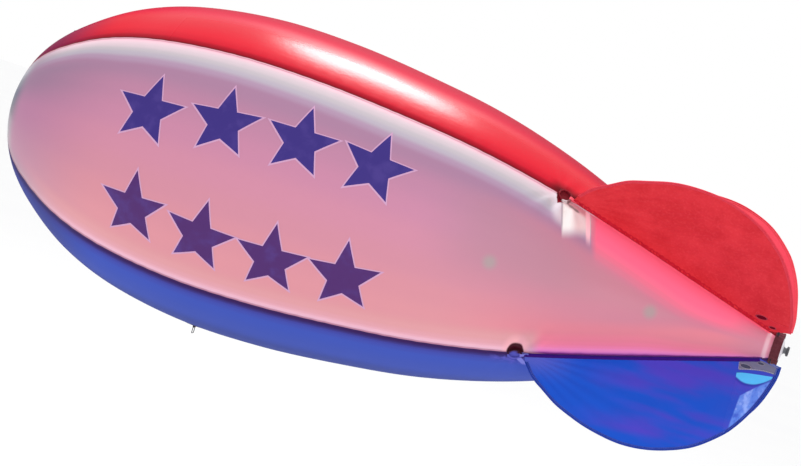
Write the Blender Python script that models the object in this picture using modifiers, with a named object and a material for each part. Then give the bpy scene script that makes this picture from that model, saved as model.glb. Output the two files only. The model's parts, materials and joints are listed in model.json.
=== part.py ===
"""Helium advertising blimp balloon, 6.1 m long.

Four gores, four tied-on fins, the tail's closure and two mooring rings.

Metres, +Z up. The hull axis lies along X with the nose at -X and the tail at +X.
The port side faces -Y. The origin is on the hull axis, half way along the hull.
"""

import math

import bpy

# Hull
LENGTH = 6.1
SKIN = 0.010
# Each row: distance from the nose and radius, both as a share of the hull's length.
HULL_SECTIONS = (
    (0.000, 0.0000),
    (0.010, 0.0520),
    (0.030, 0.0867),
    (0.070, 0.1240),
    (0.130, 0.1606),
    (0.200, 0.1839),
    (0.300, 0.1974),
    (0.400, 0.1961),
    (0.500, 0.1856),
    (0.600, 0.1694),
    (0.700, 0.1418),
    (0.800, 0.1031),
    (0.900, 0.0605),
    (1.000, 0.0180),
)
GAP = 0.0003
HULL_RINGS = 34
# How much closer the stations lie at the nose: 0 is evenly, 1 is by the square.
RINGS_TO_NOSE = 0.55
SHARE_STEP = 0.0005
GORE_STEPS = 10
NOSE_HOLE = 0.0020
GORE_SHIFT = 0.0013
GORE_LIFT = GORE_SHIFT * math.sqrt(0.5)

# Nose patch and seam tapes
NOSE_PATCH_SHARES = (0.0060, 0.0042, 0.0020, 0.0008, 0.0002)
NOSE_PATCH_SKIN = 0.006
TAPE_WIDTH = 0.024
TAPE_SKIN = 0.002
TAPE_START = 0.0066
TAPE_END = 0.9900

# Tail closure
COLLAR_START = 0.9945
COLLAR_REACH = 0.034
COLLAR_SKIN = 0.008
TAIL_CAP_EDGE = 0.004
TAIL_CAP_BULGE = 0.045
TAIL_CAP_STEPS = 6
VALVE_RADIUS = 0.028
VALVE_LENGTH = 0.022
VALVE_CAP_RADIUS = 0.036
VALVE_CAP_LENGTH = 0.018

# Fins
FIN_SKIN = 0.008
HEM_WIDTH = 0.025
HEM_SKIN = 0.012
FIN_FRONT = 0.7250
FIN_REAR = 0.9850
# Each row: distance from the nose and distance from the hull axis, as a share of the hull's length.
FIN_EDGE = (
    (0.7300, 0.1455),
    (0.7440, 0.1630),
    (0.7640, 0.1785),
    (0.7900, 0.1950),
    (0.8300, 0.2100),
    (0.8700, 0.2160),
    (0.9090, 0.2090),
    (0.9450, 0.1900),
    (0.9740, 0.1585),
    (0.9900, 0.1295),
    (1.0008, 0.0990),
    (1.0082, 0.0665),
    (1.0110, 0.0480),
    (1.0116, 0.0310),
)
EDGE_STEPS = 3

# What ties a fin's front corner to the seam
ANCHOR_START = 0.7060
ANCHOR_END = 0.7230
ANCHOR_WIDTH = 0.110
ANCHOR_SKIN = 0.003
LOOP_RADIUS = 0.046
LOOP_CORD = 0.007
STRAP_WIDTH = 0.024
STRAP_SKIN = 0.003
STRAP_FOOT = 0.014
REAR_TIE_CORD = 0.005
REAR_TIE_AT = 0.9975

# Mooring rings
PATCH_RADIUS = 0.090
PATCH_SKIN = 0.003
KEEPER_LENGTH = 0.036
KEEPER_BASE = (0.050, 0.003)
KEEPER_OUTER = 0.0090
KEEPER_INNER = 0.00465
KEEPER_HEIGHT = 0.0110
RING_BAR = 0.006
RING_GAP = 0.044
KEEPER_STEPS = 14
ROUND_SIDES = 24

# Where each mooring ring sits: name, share of the length from the nose, +1 top or -1 belly,
# and the ring's lean from the skin's normal towards the nose, in degrees.
MOORINGS = (
    ("nose", 0.0459, 1, 90.0),
    ("belly", 0.3070, -1, None),
)

# Each row: name, side along Y, side along Z.
QUARTERS = (
    ("top_port", -1, 1),
    ("top_starboard", 1, 1),
    ("belly_port", -1, -1),
    ("belly_starboard", 1, -1),
)

# Each row: name, direction of the gore's middle in degrees from +Y towards +Z, finish.
GORES = (
    ("gore_top", 90.0, "red_film"),
    ("gore_port", 180.0, "white_film"),
    ("gore_belly", -90.0, "blue_film"),
    ("gore_starboard", 0.0, "white_film"),
)

# Each finish: colour, roughness, metallic.
FINISHES = {
    "red_film": ((0.80, 0.05, 0.08), 0.35, 0.0),
    "white_film": ((0.80, 0.55, 0.62), 0.40, 0.0),
    "blue_film": ((0.09, 0.12, 0.55), 0.35, 0.0),
    "red_fin": ((0.70, 0.03, 0.04), 0.50, 0.0),
    "blue_fin": ((0.01, 0.09, 0.65), 0.50, 0.0),
    "dark_webbing": ((0.04, 0.03, 0.04), 0.80, 0.0),
    "pale_webbing": ((0.75, 0.72, 0.74), 0.70, 0.0),
    "grey_rubber": ((0.30, 0.31, 0.33), 0.55, 0.0),
    "steel": ((0.55, 0.55, 0.57), 0.30, 1.0),
}


def clear_scene():
    for old in list(bpy.data.objects):
        bpy.data.objects.remove(old, do_unlink=True)


def finish(name):
    """The material of that name, made the first time it is asked for."""
    if name in bpy.data.materials:
        return bpy.data.materials[name]
    colour, roughness, metallic = FINISHES[name]
    material = bpy.data.materials.new(name)
    material.use_nodes = True
    shader = material.node_tree.nodes["Principled BSDF"]
    shader.inputs["Base Color"].default_value = (*colour, 1.0)
    shader.inputs["Roughness"].default_value = roughness
    shader.inputs["Metallic"].default_value = metallic
    return material


def place(name, data, material, turn=(0.0, 0.0, 0.0), at=(0.0, 0.0, 0.0)):
    """Adds an object for the data, turned and placed."""
    piece = bpy.data.objects.new(name, data)
    data.materials.append(finish(material))
    piece.rotation_euler = turn
    piece.location = at
    parts.objects.link(piece)
    return piece


def circle(radius):
    """Points round a circle."""
    turns = [2 * math.pi * i / ROUND_SIDES for i in range(ROUND_SIDES)]
    return [(radius * math.cos(turn), radius * math.sin(turn)) for turn in turns]


def flat_piece(name, outlines, thickness, material, turn, at=(0.0, 0.0, 0.0)):
    """A flat outline in its own XY plane, given its thickness along its Z. Later outlines are holes."""
    curve = bpy.data.curves.new(name, "CURVE")
    curve.dimensions = "2D"
    curve.fill_mode = "BOTH"
    curve.extrude = thickness / 2
    for outline in outlines:
        spline = curve.splines.new("POLY")
        spline.points.add(len(outline) - 1)
        for point, (x, y) in zip(spline.points, outline):
            point.co = (x, y, 0.0, 1.0)
        spline.use_cyclic_u = True
    return place(name, curve, material, turn, at)


def cord_piece(name, route, radius, material, turn, at=(0.0, 0.0, 0.0), closed=False):
    """A round cord along the route's points."""
    curve = bpy.data.curves.new(name, "CURVE")
    curve.dimensions = "3D"
    curve.bevel_depth = radius
    curve.bevel_resolution = 2
    curve.use_fill_caps = True
    spline = curve.splines.new("POLY")
    spline.points.add(len(route) - 1)
    for point, place_on_route in zip(spline.points, route):
        point.co = (*place_on_route, 1.0)
    spline.use_cyclic_u = closed
    return place(name, curve, material, turn, at)


def turned_piece(name, profile, angle, steps, wall, material, turn=(0.0, 0.0, 0.0), at=(0.0, 0.0, 0.0)):
    """Turns an open profile of (x, radius) points about the X axis, with a wall on its inner side.

    The profile runs from the tail to the nose. A wall of None is for a profile that closes on the axis.
    """
    mesh = bpy.data.meshes.new(name)
    verts = [(x, radius, 0.0) for x, radius in profile]
    mesh.from_pydata(verts, [(i, i + 1) for i in range(len(verts) - 1)], [])
    piece = place(name, mesh, material, turn, at)
    screw = piece.modifiers.new("Turn", "SCREW")
    screw.axis = "X"
    screw.angle = math.radians(angle)
    screw.steps = steps
    screw.render_steps = steps
    screw.use_merge_vertices = True
    screw.merge_threshold = 0.00005
    screw.use_smooth_shade = True
    if wall is not None:
        shell = piece.modifiers.new("Wall", "SOLIDIFY")
        shell.thickness = wall
        shell.offset = -1.0
        shell.use_even_offset = True
    return piece


def hull_radius(share):
    """Radius of the hull at that share of its length: a smooth curve through HULL_SECTIONS.

    It is worked out over the square root of the distance, which makes the nose round.
    """
    spots = [math.sqrt(row[0]) for row in HULL_SECTIONS]
    radii = [row[1] for row in HULL_SECTIONS]
    slopes = []
    last = len(spots) - 1
    for i in range(last + 1):
        low, high = max(i - 1, 0), min(i + 1, last)
        slopes.append((radii[high] - radii[low]) / (spots[high] - spots[low]))
    where = min(max(math.sqrt(share), spots[0]), spots[last])
    i = 0
    while i < last - 1 and where > spots[i + 1]:
        i += 1
    span = spots[i + 1] - spots[i]
    u = (where - spots[i]) / span
    value = (
        (2 * u**3 - 3 * u**2 + 1) * radii[i]
        + (u**3 - 2 * u**2 + u) * span * slopes[i]
        + (3 * u**2 - 2 * u**3) * radii[i + 1]
        + (u**3 - u**2) * span * slopes[i + 1]
    )
    return value * LENGTH


def hull_x(share):
    return (share - 0.5) * LENGTH


def hull_normal(share):
    """The skin's outward direction at that share, as (along X, away from the axis)."""
    low, high = max(share - SHARE_STEP, 0.0), min(share + SHARE_STEP, 1.0)
    run = hull_x(high) - hull_x(low)
    rise = hull_radius(high) - hull_radius(low)
    size = math.hypot(run, rise)
    return -rise / size, run / size


def hull_shares():
    """Stations along the hull, closer together at the nose."""
    shares = []
    for i in range(HULL_RINGS + 1):
        u = i / HULL_RINGS
        spread = (1.0 - RINGS_TO_NOSE) * u + RINGS_TO_NOSE * u**2
        shares.append(NOSE_HOLE + (1.0 - NOSE_HOLE) * spread)
    return shares


def skin_radius(share):
    """Radius of the gores there, which run straight from one station to the next."""
    shares = hull_shares()
    if share <= shares[0]:
        return hull_radius(share)
    i = 1
    while share > shares[i] and i < len(shares) - 1:
        i += 1
    u = (share - shares[i - 1]) / (shares[i] - shares[i - 1])
    return (1 - u) * hull_radius(shares[i - 1]) + u * hull_radius(shares[i])


def between(start, end):
    """Stations from start to end, those of the gores between them."""
    inner = [share for share in hull_shares() if start + SHARE_STEP < share < end - SHARE_STEP]
    return [start] + inner + [end]


def skin_line(shares, lift, shift):
    """(x, radius) points that lie a given height above the gores, which are moved outward by shift there."""
    line = []
    for share in shares:
        along, away = hull_normal(share)
        line.append((hull_x(share) + lift * along, skin_radius(share) + shift + lift * away))
    return line


def make_gores():
    profile = [(hull_x(share), hull_radius(share)) for share in reversed(hull_shares())]
    for name, middle, material in GORES:
        turn = math.radians(middle)
        start = (turn - math.radians(45.0), 0.0, 0.0)
        at = (0.0, GORE_SHIFT * math.cos(turn), GORE_SHIFT * math.sin(turn))
        turned_piece(name, profile, 90.0, GORE_STEPS, SKIN, material, start, at)


def seam_turn(side_y, side_z):
    """Turns a piece's own Y to the seam between two gores."""
    return (math.atan2(side_z, side_y), 0.0, 0.0)


def make_seam_tapes():
    shares = between(TAPE_START, TAPE_END)
    under = skin_line(shares, GAP, GORE_LIFT)
    over = skin_line(shares, GAP + TAPE_SKIN, GORE_LIFT)
    for name, side_y, side_z in QUARTERS:
        turn = seam_turn(side_y, side_z)
        flat_piece("seam_" + name, [under + over[::-1]], TAPE_WIDTH, "pale_webbing", turn)


def make_nose_patch():
    lift = GAP + NOSE_PATCH_SKIN
    profile = skin_line(NOSE_PATCH_SHARES, lift, GORE_SHIFT) + [(hull_x(0.0) - lift, 0.0)]
    turned_piece("nose_patch", profile, 360.0, 4 * GORE_STEPS, NOSE_PATCH_SKIN, "white_film")


def collar_line():
    """The collar's outer surface along the hull, from its front to the hull's end."""
    return skin_line([COLLAR_START, 1.0], GAP + COLLAR_SKIN, GORE_SHIFT)


def make_tail():
    """Collar around the tail's end, the cap that closes it, and the filling valve."""
    tail_x = hull_x(1.0)
    collar_end = tail_x + COLLAR_REACH
    slope = collar_line()
    profile = [(collar_end, slope[1][1])] + slope[::-1]
    turned_piece("tail_collar", profile, 360.0, 4 * GORE_STEPS, COLLAR_SKIN, "dark_webbing")

    base = tail_x + GAP
    rim = hull_radius(1.0)
    profile = []
    for i in range(TAIL_CAP_STEPS):
        angle = math.radians(90.0 * i / TAIL_CAP_STEPS)
        profile.append((base + TAIL_CAP_EDGE + TAIL_CAP_BULGE * math.cos(angle), rim * math.sin(angle)))
    profile += [(base + TAIL_CAP_EDGE, rim), (base, rim), (base, 0.0)]
    turned_piece("tail_cap", profile, 360.0, 4 * GORE_STEPS, None, "pale_webbing")

    cap_end = base + TAIL_CAP_EDGE + TAIL_CAP_BULGE + GAP
    start, end = cap_end, cap_end + VALVE_LENGTH
    valve = [(end, 0.0), (end, VALVE_RADIUS), (start, VALVE_RADIUS), (start, 0.0)]
    turned_piece("filling_valve", valve, 360.0, ROUND_SIDES, None, "grey_rubber")
    start, end = end + GAP, end + GAP + VALVE_CAP_LENGTH
    cap = [(end, 0.0), (end, VALVE_CAP_RADIUS), (start, VALVE_CAP_RADIUS), (start, 0.0)]
    turned_piece("valve_cap", cap, 360.0, ROUND_SIDES, None, "dark_webbing")


def smooth_line(points, steps):
    """A smooth curve through the points (Catmull-Rom), with that many steps between two of them."""
    line = []
    last = len(points) - 1
    for i in range(last):
        p0, p1, p2, p3 = points[max(i - 1, 0)], points[i], points[i + 1], points[min(i + 2, last)]
        for k in range(steps):
            u = k / steps
            spot = []
            for a, b, c, d in zip(p0, p1, p2, p3):
                square, cube = 2 * a - 5 * b + 4 * c - d, 3 * b - a - 3 * c + d
                spot.append(0.5 * (2 * b + (c - a) * u + square * u**2 + cube * u**3))
            line.append(tuple(spot))
    line.append(points[-1])
    return line


def inset_line(line, depth):
    """The same line moved to its right-hand side by depth."""
    moved = []
    for i, (x, y) in enumerate(line):
        before, after = line[max(i - 1, 0)], line[min(i + 1, len(line) - 1)]
        run, rise = after[0] - before[0], after[1] - before[1]
        size = math.hypot(run, rise)
        moved.append((x + depth * rise / size, y - depth * run / size))
    return moved


def fin_lines():
    """The fin's free edge from front to rear, and its root from rear to front."""
    root = skin_line(between(FIN_FRONT, FIN_REAR), GAP + TAPE_SKIN + GAP, GORE_LIFT)
    edge = smooth_line([(hull_x(share), away * LENGTH) for share, away in FIN_EDGE], EDGE_STEPS)
    return edge, root[::-1]


def make_fins():
    edge, root = fin_lines()
    inner = inset_line(edge, HEM_WIDTH)
    panel_edge = inset_line(edge, HEM_WIDTH + GAP)
    hem = edge + inner[::-1]
    for name, side_y, side_z in QUARTERS:
        material = "red_fin" if side_z > 0 else "blue_fin"
        turn = seam_turn(side_y, side_z)
        flat_piece("fin_" + name, [panel_edge + root], FIN_SKIN, material, turn)
        flat_piece("fin_hem_" + name, [hem], HEM_SKIN, material, turn)


def tie_frame():
    """Where the anchors sit along the seam: the middle of the underside, its tilt and half its length."""
    front, rear = skin_line([ANCHOR_START, ANCHOR_END], GAP + TAPE_SKIN + GAP, GORE_LIFT)
    tilt = math.atan2(rear[1] - front[1], rear[0] - front[0])
    return ((front[0] + rear[0]) / 2, (front[1] + rear[1]) / 2), tilt, math.dist(front, rear) / 2


def on_seam(along, height):
    """A point that far behind the anchor's middle and that far above its underside."""
    foot, tilt, _ = tie_frame()
    return (
        foot[0] + along * math.cos(tilt) - height * math.sin(tilt),
        foot[1] + along * math.sin(tilt) + height * math.cos(tilt),
    )


def make_fin_ties():
    """Each front corner: an anchor patch on the seam, a cord loop on it and the strap to the fin."""
    foot, tilt, half = tie_frame()
    corners = ((-half, 0.0), (half, 0.0), (half, ANCHOR_SKIN), (-half, ANCHOR_SKIN))
    anchor = [on_seam(along, height) for along, height in corners]
    low = ANCHOR_SKIN + GAP
    loop = []
    for x, y in circle(LOOP_RADIUS):
        loop.append((*on_seam(x, low + LOOP_CORD), y))
    front_x, front_r = fin_lines()[1][-1]
    reach = (front_x - foot[0]) * math.cos(tilt) + (front_r - foot[1]) * math.sin(tilt)
    high = low + 2 * LOOP_CORD + GAP
    crest = LOOP_CORD + STRAP_SKIN
    under = [
        (-STRAP_FOOT, low),
        (LOOP_RADIUS - 2 * crest, low),
        (LOOP_RADIUS - crest, high),
        (LOOP_RADIUS + crest, high),
        (reach - GAP, 2 * GAP),
    ]
    over = [(along, height + STRAP_SKIN) for along, height in under]
    strap = [on_seam(along, height) for along, height in under + over[::-1]]
    for name, side_y, side_z in QUARTERS:
        turn = seam_turn(side_y, side_z)
        flat_piece("fin_anchor_" + name, [anchor], ANCHOR_WIDTH, "pale_webbing", turn)
        cord_piece("fin_loop_" + name, loop, LOOP_CORD, "dark_webbing", turn, closed=True)
        flat_piece("fin_strap_" + name, [strap], STRAP_WIDTH, "pale_webbing", turn)


def make_rear_ties():
    """A short cord from the tail collar up to each fin's rear edge."""
    edge, root = fin_lines()
    rear = inset_line(edge, HEM_WIDTH + GAP)[-1]
    slope = (rear[1] - root[0][1]) / (rear[0] - root[0][0])
    x = hull_x(REAR_TIE_AT)
    top = root[0][1] + slope * (x - root[0][0]) - abs(slope) * REAR_TIE_CORD - GAP
    (front_x, front_r), (rear_x, rear_r) = collar_line()
    fall = (front_r - rear_r) / (rear_x - front_x)
    bottom = front_r - fall * (x - REAR_TIE_CORD - front_x) + GAP
    for name, side_y, side_z in QUARTERS:
        turn = seam_turn(side_y, side_z)
        cord_piece("rear_tie_" + name, [(x, bottom, 0.0), (x, top, 0.0)], REAR_TIE_CORD, "dark_webbing", turn)


def mooring_frame(share, side):
    """Where a mooring sits and how its own +Z, away from the skin, is turned."""
    along, away = hull_normal(share)
    x, radius = skin_line([share], GAP, GORE_SHIFT)[0]
    return (x, side * radius), (along, side * away)


def raised(at, normal, height):
    """A point that far above the skin at a mooring."""
    return at[0] + height * normal[0], 0.0, at[1] + height * normal[1]


def keeper_outlines():
    """The keeper from its side: flat feet with a round tunnel between them, and the tunnel's bore."""
    half, foot = KEEPER_BASE[0] / 2, KEEPER_BASE[1]
    start = -math.asin((KEEPER_HEIGHT - foot) / KEEPER_OUTER)
    outer = [(half, 0.0), (half, foot)]
    for i in range(KEEPER_STEPS + 1):
        angle = start + (math.pi - 2 * start) * i / KEEPER_STEPS
        outer.append((KEEPER_OUTER * math.cos(angle), KEEPER_HEIGHT + KEEPER_OUTER * math.sin(angle)))
    outer += [(-half, foot), (-half, 0.0)]
    return [outer, [(x, KEEPER_HEIGHT + y) for x, y in circle(KEEPER_INNER)]]


def ring_outlines():
    """The ring laid flat, with the bar that it turns on at its own X of 0."""
    gap, wide = RING_GAP / 2, RING_GAP / 2 + RING_BAR
    low, high = -RING_BAR / 2, RING_GAP + RING_BAR * 1.5
    outside = [(low, -wide), (high, -wide), (high, wide), (low, wide)]
    inside = [(low + RING_BAR, -gap), (high - RING_BAR, -gap), (high - RING_BAR, gap), (low + RING_BAR, gap)]
    return [outside, inside]


def make_moorings():
    """Patch, keeper and ring at the nose and under the belly."""
    for name, share, side, lean in MOORINGS:
        at, normal = mooring_frame(share, side)
        turn_y = math.atan2(*normal)
        disc = circle(PATCH_RADIUS)
        middle = raised(at, normal, PATCH_SKIN / 2)
        flat_piece("mooring_patch_" + name, [disc], PATCH_SKIN, "dark_webbing", (0.0, turn_y, 0.0), middle)

        foot = raised(at, normal, PATCH_SKIN + GAP)
        turn = (math.radians(90.0), turn_y, 0.0)
        flat_piece("mooring_keeper_" + name, keeper_outlines(), KEEPER_LENGTH, "pale_webbing", turn, foot)

        pivot = raised(at, normal, PATCH_SKIN + GAP + KEEPER_HEIGHT)
        hang = math.pi if lean is None else turn_y - math.radians(lean)
        turn = (0.0, hang - math.radians(90.0), 0.0)
        flat_piece("mooring_ring_" + name, ring_outlines(), RING_BAR, "steel", turn, pivot)


clear_scene()
parts = bpy.data.collections.new("advertising_blimp_balloon")
bpy.context.scene.collection.children.link(parts)
make_gores()
make_seam_tapes()
make_nose_patch()
make_tail()
make_fins()
make_fin_ties()
make_rear_ties()
make_moorings()
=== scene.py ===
# %% [markdown]
# # An advertising blimp balloon
#
# The balloon is a skin of four long gores, blown tight with helium, with four flat fins tied to it at
# the tail. The frame that is loaded first holds every piece at its real size. This lesson gives those
# pieces their looks: smooth film, seams, stitched webbing, cord and steel.

# %% Load the frame
import bisect
import json
import math

import bpy
from mathutils import Matrix, Vector


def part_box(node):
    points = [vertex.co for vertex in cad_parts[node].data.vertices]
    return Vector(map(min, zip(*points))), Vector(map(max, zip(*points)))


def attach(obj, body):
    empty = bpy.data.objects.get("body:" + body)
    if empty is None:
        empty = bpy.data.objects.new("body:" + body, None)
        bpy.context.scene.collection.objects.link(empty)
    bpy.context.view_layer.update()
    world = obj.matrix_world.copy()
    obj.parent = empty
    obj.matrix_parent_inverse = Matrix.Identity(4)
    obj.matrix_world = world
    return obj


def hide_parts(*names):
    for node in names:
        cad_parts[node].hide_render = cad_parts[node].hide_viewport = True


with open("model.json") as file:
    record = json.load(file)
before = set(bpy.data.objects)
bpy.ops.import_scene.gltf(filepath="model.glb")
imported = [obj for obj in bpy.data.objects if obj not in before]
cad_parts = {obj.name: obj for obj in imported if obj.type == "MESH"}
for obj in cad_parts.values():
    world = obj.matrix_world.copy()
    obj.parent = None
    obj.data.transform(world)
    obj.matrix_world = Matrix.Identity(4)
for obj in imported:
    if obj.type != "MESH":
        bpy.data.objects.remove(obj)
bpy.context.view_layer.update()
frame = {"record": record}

# %% [markdown]
# ## The camera
#
# The picture was taken with a long lens, from port and a little behind the middle, and the camera leaned
# over to its side. Three turns describe that: yaw about the upright axis, pitch up or down, and roll. The
# two sides of the frame and the way out of the lens make the columns of the camera's matrix.

# %% Camera
LENGTH = 6.1
CAMERA_AT = Vector((0.6063, -3.0, 0.1403)) * LENGTH
YAW, PITCH, ROLL = -0.19252, -0.04876, 0.30629
SENSOR = 36.0
FOCAL_PIXELS = 2487.3
PICTURE_WIDTH = 801

ahead = Vector((math.sin(YAW) * math.cos(PITCH), math.cos(YAW) * math.cos(PITCH), math.sin(PITCH)))
level_right = Vector((math.cos(YAW), -math.sin(YAW), 0.0))
level_up = level_right.cross(ahead)
right = math.cos(ROLL) * level_right + math.sin(ROLL) * level_up
up = math.cos(ROLL) * level_up - math.sin(ROLL) * level_right

bpy.ops.object.camera_add(location=CAMERA_AT)
camera = bpy.context.object
camera.name = "camera"
camera.matrix_world = Matrix.Translation(CAMERA_AT) @ Matrix((right, up, -ahead)).transposed().to_4x4()
camera.data.sensor_width = SENSOR
camera.data.lens = SENSOR * FOCAL_PIXELS / PICTURE_WIDTH
camera.data.clip_end = 200.0
bpy.context.scene.camera = camera
bpy.context.scene.view_settings.view_transform = "Standard"
print("lens", round(camera.data.lens, 1), "mm at", [round(v, 2) for v in CAMERA_AT])

# %% [markdown]
# ## Working by hand in code
#
# Every operator acts on what is selected, so each piece starts with a clean selection. A finished piece
# has its place in its own mesh and its object at the origin. These short helpers do that every time.

# %% Selection and finishing helpers
def fresh():
    """Object mode with nothing selected, so that a new primitive stands alone."""
    if bpy.context.mode != "OBJECT":
        bpy.ops.object.mode_set(mode="OBJECT")
    bpy.ops.object.select_all(action="DESELECT")


def pick(*objects):
    """Selects only these objects, the first of them active."""
    fresh()
    for each in objects:
        each.select_set(True)
    bpy.context.view_layer.objects.active = objects[0]
    return objects[0]


def edit(piece, mode="VERT"):
    """Opens a piece in edit mode with everything selected."""
    pick(piece)
    bpy.ops.object.mode_set(mode="EDIT")
    bpy.ops.mesh.select_mode(type=mode)
    bpy.ops.mesh.select_all(action="SELECT")


def settle(piece, name, smooth=35.0):
    """Names the piece, puts its place in its mesh and shades it."""
    pick(piece)
    piece.name = name
    piece.data.name = name
    bpy.ops.object.transform_apply(location=True, rotation=True, scale=True)
    bpy.ops.object.shade_smooth_by_angle(angle=math.radians(smooth))
    return piece


def apply_modifier(piece, kind, **settings):
    """Adds a modifier with its settings and applies it at once."""
    pick(piece)
    bpy.ops.object.modifier_add(type=kind)
    modifier = piece.modifiers[-1]
    for key, value in settings.items():
        setattr(modifier, key, value)
    bpy.ops.object.modifier_apply(modifier=modifier.name)


FINISHES = {}


def dress(piece, body, slot, finish, *nodes):
    """Gives a piece its finish, its body and the nodes that it stands for."""
    piece.data.materials.clear()
    piece.data.materials.append(FINISHES[finish])
    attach(piece, body)
    if nodes:
        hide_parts(*nodes)


def copy_of(piece, name):
    """A copy with its own mesh."""
    pick(piece)
    bpy.ops.object.duplicate()
    twin = bpy.context.object
    twin.name = name
    twin.data.name = name
    return twin


def joined(pieces, name, smooth=35.0):
    """Joins several objects into one piece."""
    pick(*pieces)
    bpy.ops.object.join()
    return settle(bpy.context.object, name, smooth)


def discard(*objects):
    """Deletes pieces that were only there to be copied."""
    pick(*objects)
    bpy.ops.object.delete()


def reshape(piece, move):
    """Moves every point of a piece to where move(point) says."""
    fresh()
    for vertex in piece.data.vertices:
        vertex.co = move(vertex.co.copy())
    piece.data.update()
    return piece


def face_out(piece):
    """Makes a closed piece's faces point outwards."""
    edit(piece)
    bpy.ops.mesh.normals_make_consistent(inside=False)
    fresh()
    return piece


def thicken(piece, thickness):
    """Makes a sheet solid, with half of the thickness on each side."""
    apply_modifier(piece, "SOLIDIFY", thickness=thickness, offset=0.0)
    return face_out(piece)


def primitive(operator, name, stretch=None, **settings):
    """Adds a simple form with one of Blender's operators, stretches it where asked, and settles it."""
    fresh()
    operator(**settings)
    if stretch:
        bpy.ops.transform.resize(value=stretch)
    return settle(bpy.context.object, name)


# %% [markdown]
# A line drawn point by point is the start of most pieces here. Spun about an axis it makes a round part,
# bridged with a second line it makes a sheet, and given a round section it makes a cord or a bar.

# %% Lines, spun parts, sheets and bars
def drawn_line(points):
    """Draws edges from point to point and leaves them selected in edit mode."""
    fresh()
    bpy.ops.mesh.primitive_plane_add(size=0.01)
    piece = bpy.context.object
    edit(piece)
    bpy.ops.mesh.merge(type="CENTER")
    bpy.ops.transform.translate(value=points[0])
    for before, after in zip(points, points[1:]):
        bpy.ops.mesh.extrude_vertices_move(TRANSFORM_OT_translate={"value": after - before})
    bpy.ops.mesh.select_all(action="SELECT")
    return piece


def lengths(line):
    """The distance along a line to each of its points."""
    reach = [0.0]
    for before, after in zip(line, line[1:]):
        reach.append(reach[-1] + (after - before).length)
    return reach


def direction(line, i):
    """The direction in which a line passes its point i."""
    return (line[min(i + 1, len(line) - 1)] - line[max(i - 1, 0)]).normalized()


def spun(profile, steps):
    """Spins a line of (x, radius) points all the way round the X axis and closes it."""
    piece = drawn_line([Vector((x, 0.0, radius)) for x, radius in profile])
    bpy.ops.mesh.spin(steps=steps, angle=math.radians(360.0), center=(0, 0, 0), axis=(1, 0, 0))
    bpy.ops.mesh.select_all(action="SELECT")
    bpy.ops.mesh.remove_doubles(threshold=0.00005)
    return face_out(piece)


def sheet_between(first, second, cuts):
    """Bridges two lines of points into a sheet."""
    one = drawn_line(first)
    two = drawn_line(second)
    pick(one, two)
    bpy.ops.object.join()
    edit(one, "EDGE")
    bpy.ops.mesh.bridge_edge_loops(number_cuts=cuts, interpolation="LINEAR")
    fresh()
    return one


def round_bar(points, radius, closed=False, sides=3):
    """A round bar along the points."""
    piece = drawn_line(points + points[:1] if closed else points)
    bpy.ops.mesh.remove_doubles(threshold=0.00001)
    fresh()
    pick(piece)
    bpy.ops.object.convert(target="CURVE")
    curve = bpy.context.object
    curve.data.bevel_depth = radius
    curve.data.bevel_resolution = sides
    curve.data.use_fill_caps = True
    bpy.ops.object.convert(target="MESH")
    return face_out(bpy.context.object)


# %% [markdown]
# ## Shader sums written as sums
#
# A material is a tree of nodes, and adding two numbers takes a Math node. The small class here wraps a
# socket, so that `1 - edge * 0.5` adds those nodes by itself. Every other node comes from one method.

# %% A socket that can be reckoned with
def feed(tree, slot, value):
    """Links a Flow to an input, or writes a plain value into it."""
    if isinstance(value, Flow):
        tree.links.new(value.socket, slot)
    else:
        slot.default_value = value


class Flow:
    """A socket whose sums add Math nodes."""

    def __init__(self, tree, socket):
        self.tree = tree
        self.socket = socket

    def math(self, operation, *others, swap=False):
        node = self.tree.nodes.new("ShaderNodeMath")
        node.operation = operation
        for slot, value in zip(node.inputs, [*others, self] if swap else [self, *others]):
            feed(self.tree, slot, value)
        return Flow(self.tree, node.outputs[0])

    def __add__(self, other):
        return self.math("ADD", other)

    __radd__ = __add__

    def __sub__(self, other):
        return self.math("SUBTRACT", other)

    def __rsub__(self, other):
        return self.math("SUBTRACT", other, swap=True)

    def __mul__(self, other):
        return self.math("MULTIPLY", other)

    __rmul__ = __mul__

    def __abs__(self):
        return self.math("ABSOLUTE")

    def clamped(self):
        return self.math("MAXIMUM", 0.0).math("MINIMUM", 1.0)

    def step(self, low, high):
        """Rises smoothly from 0 at low to 1 at high, or falls where low is the larger."""
        if low > high:
            return 1.0 - self.step(high, low)
        node = self.tree.nodes.new("ShaderNodeMapRange")
        node.interpolation_type = "SMOOTHSTEP"
        self.tree.links.new(self.socket, node.inputs["Value"])
        node.inputs["From Min"].default_value = low
        node.inputs["From Max"].default_value = high
        return Flow(self.tree, node.outputs[0])


def diagonal(first, second):
    """The root of the sum of two squares."""
    return (first * first + second * second).math("SQRT")


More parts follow.
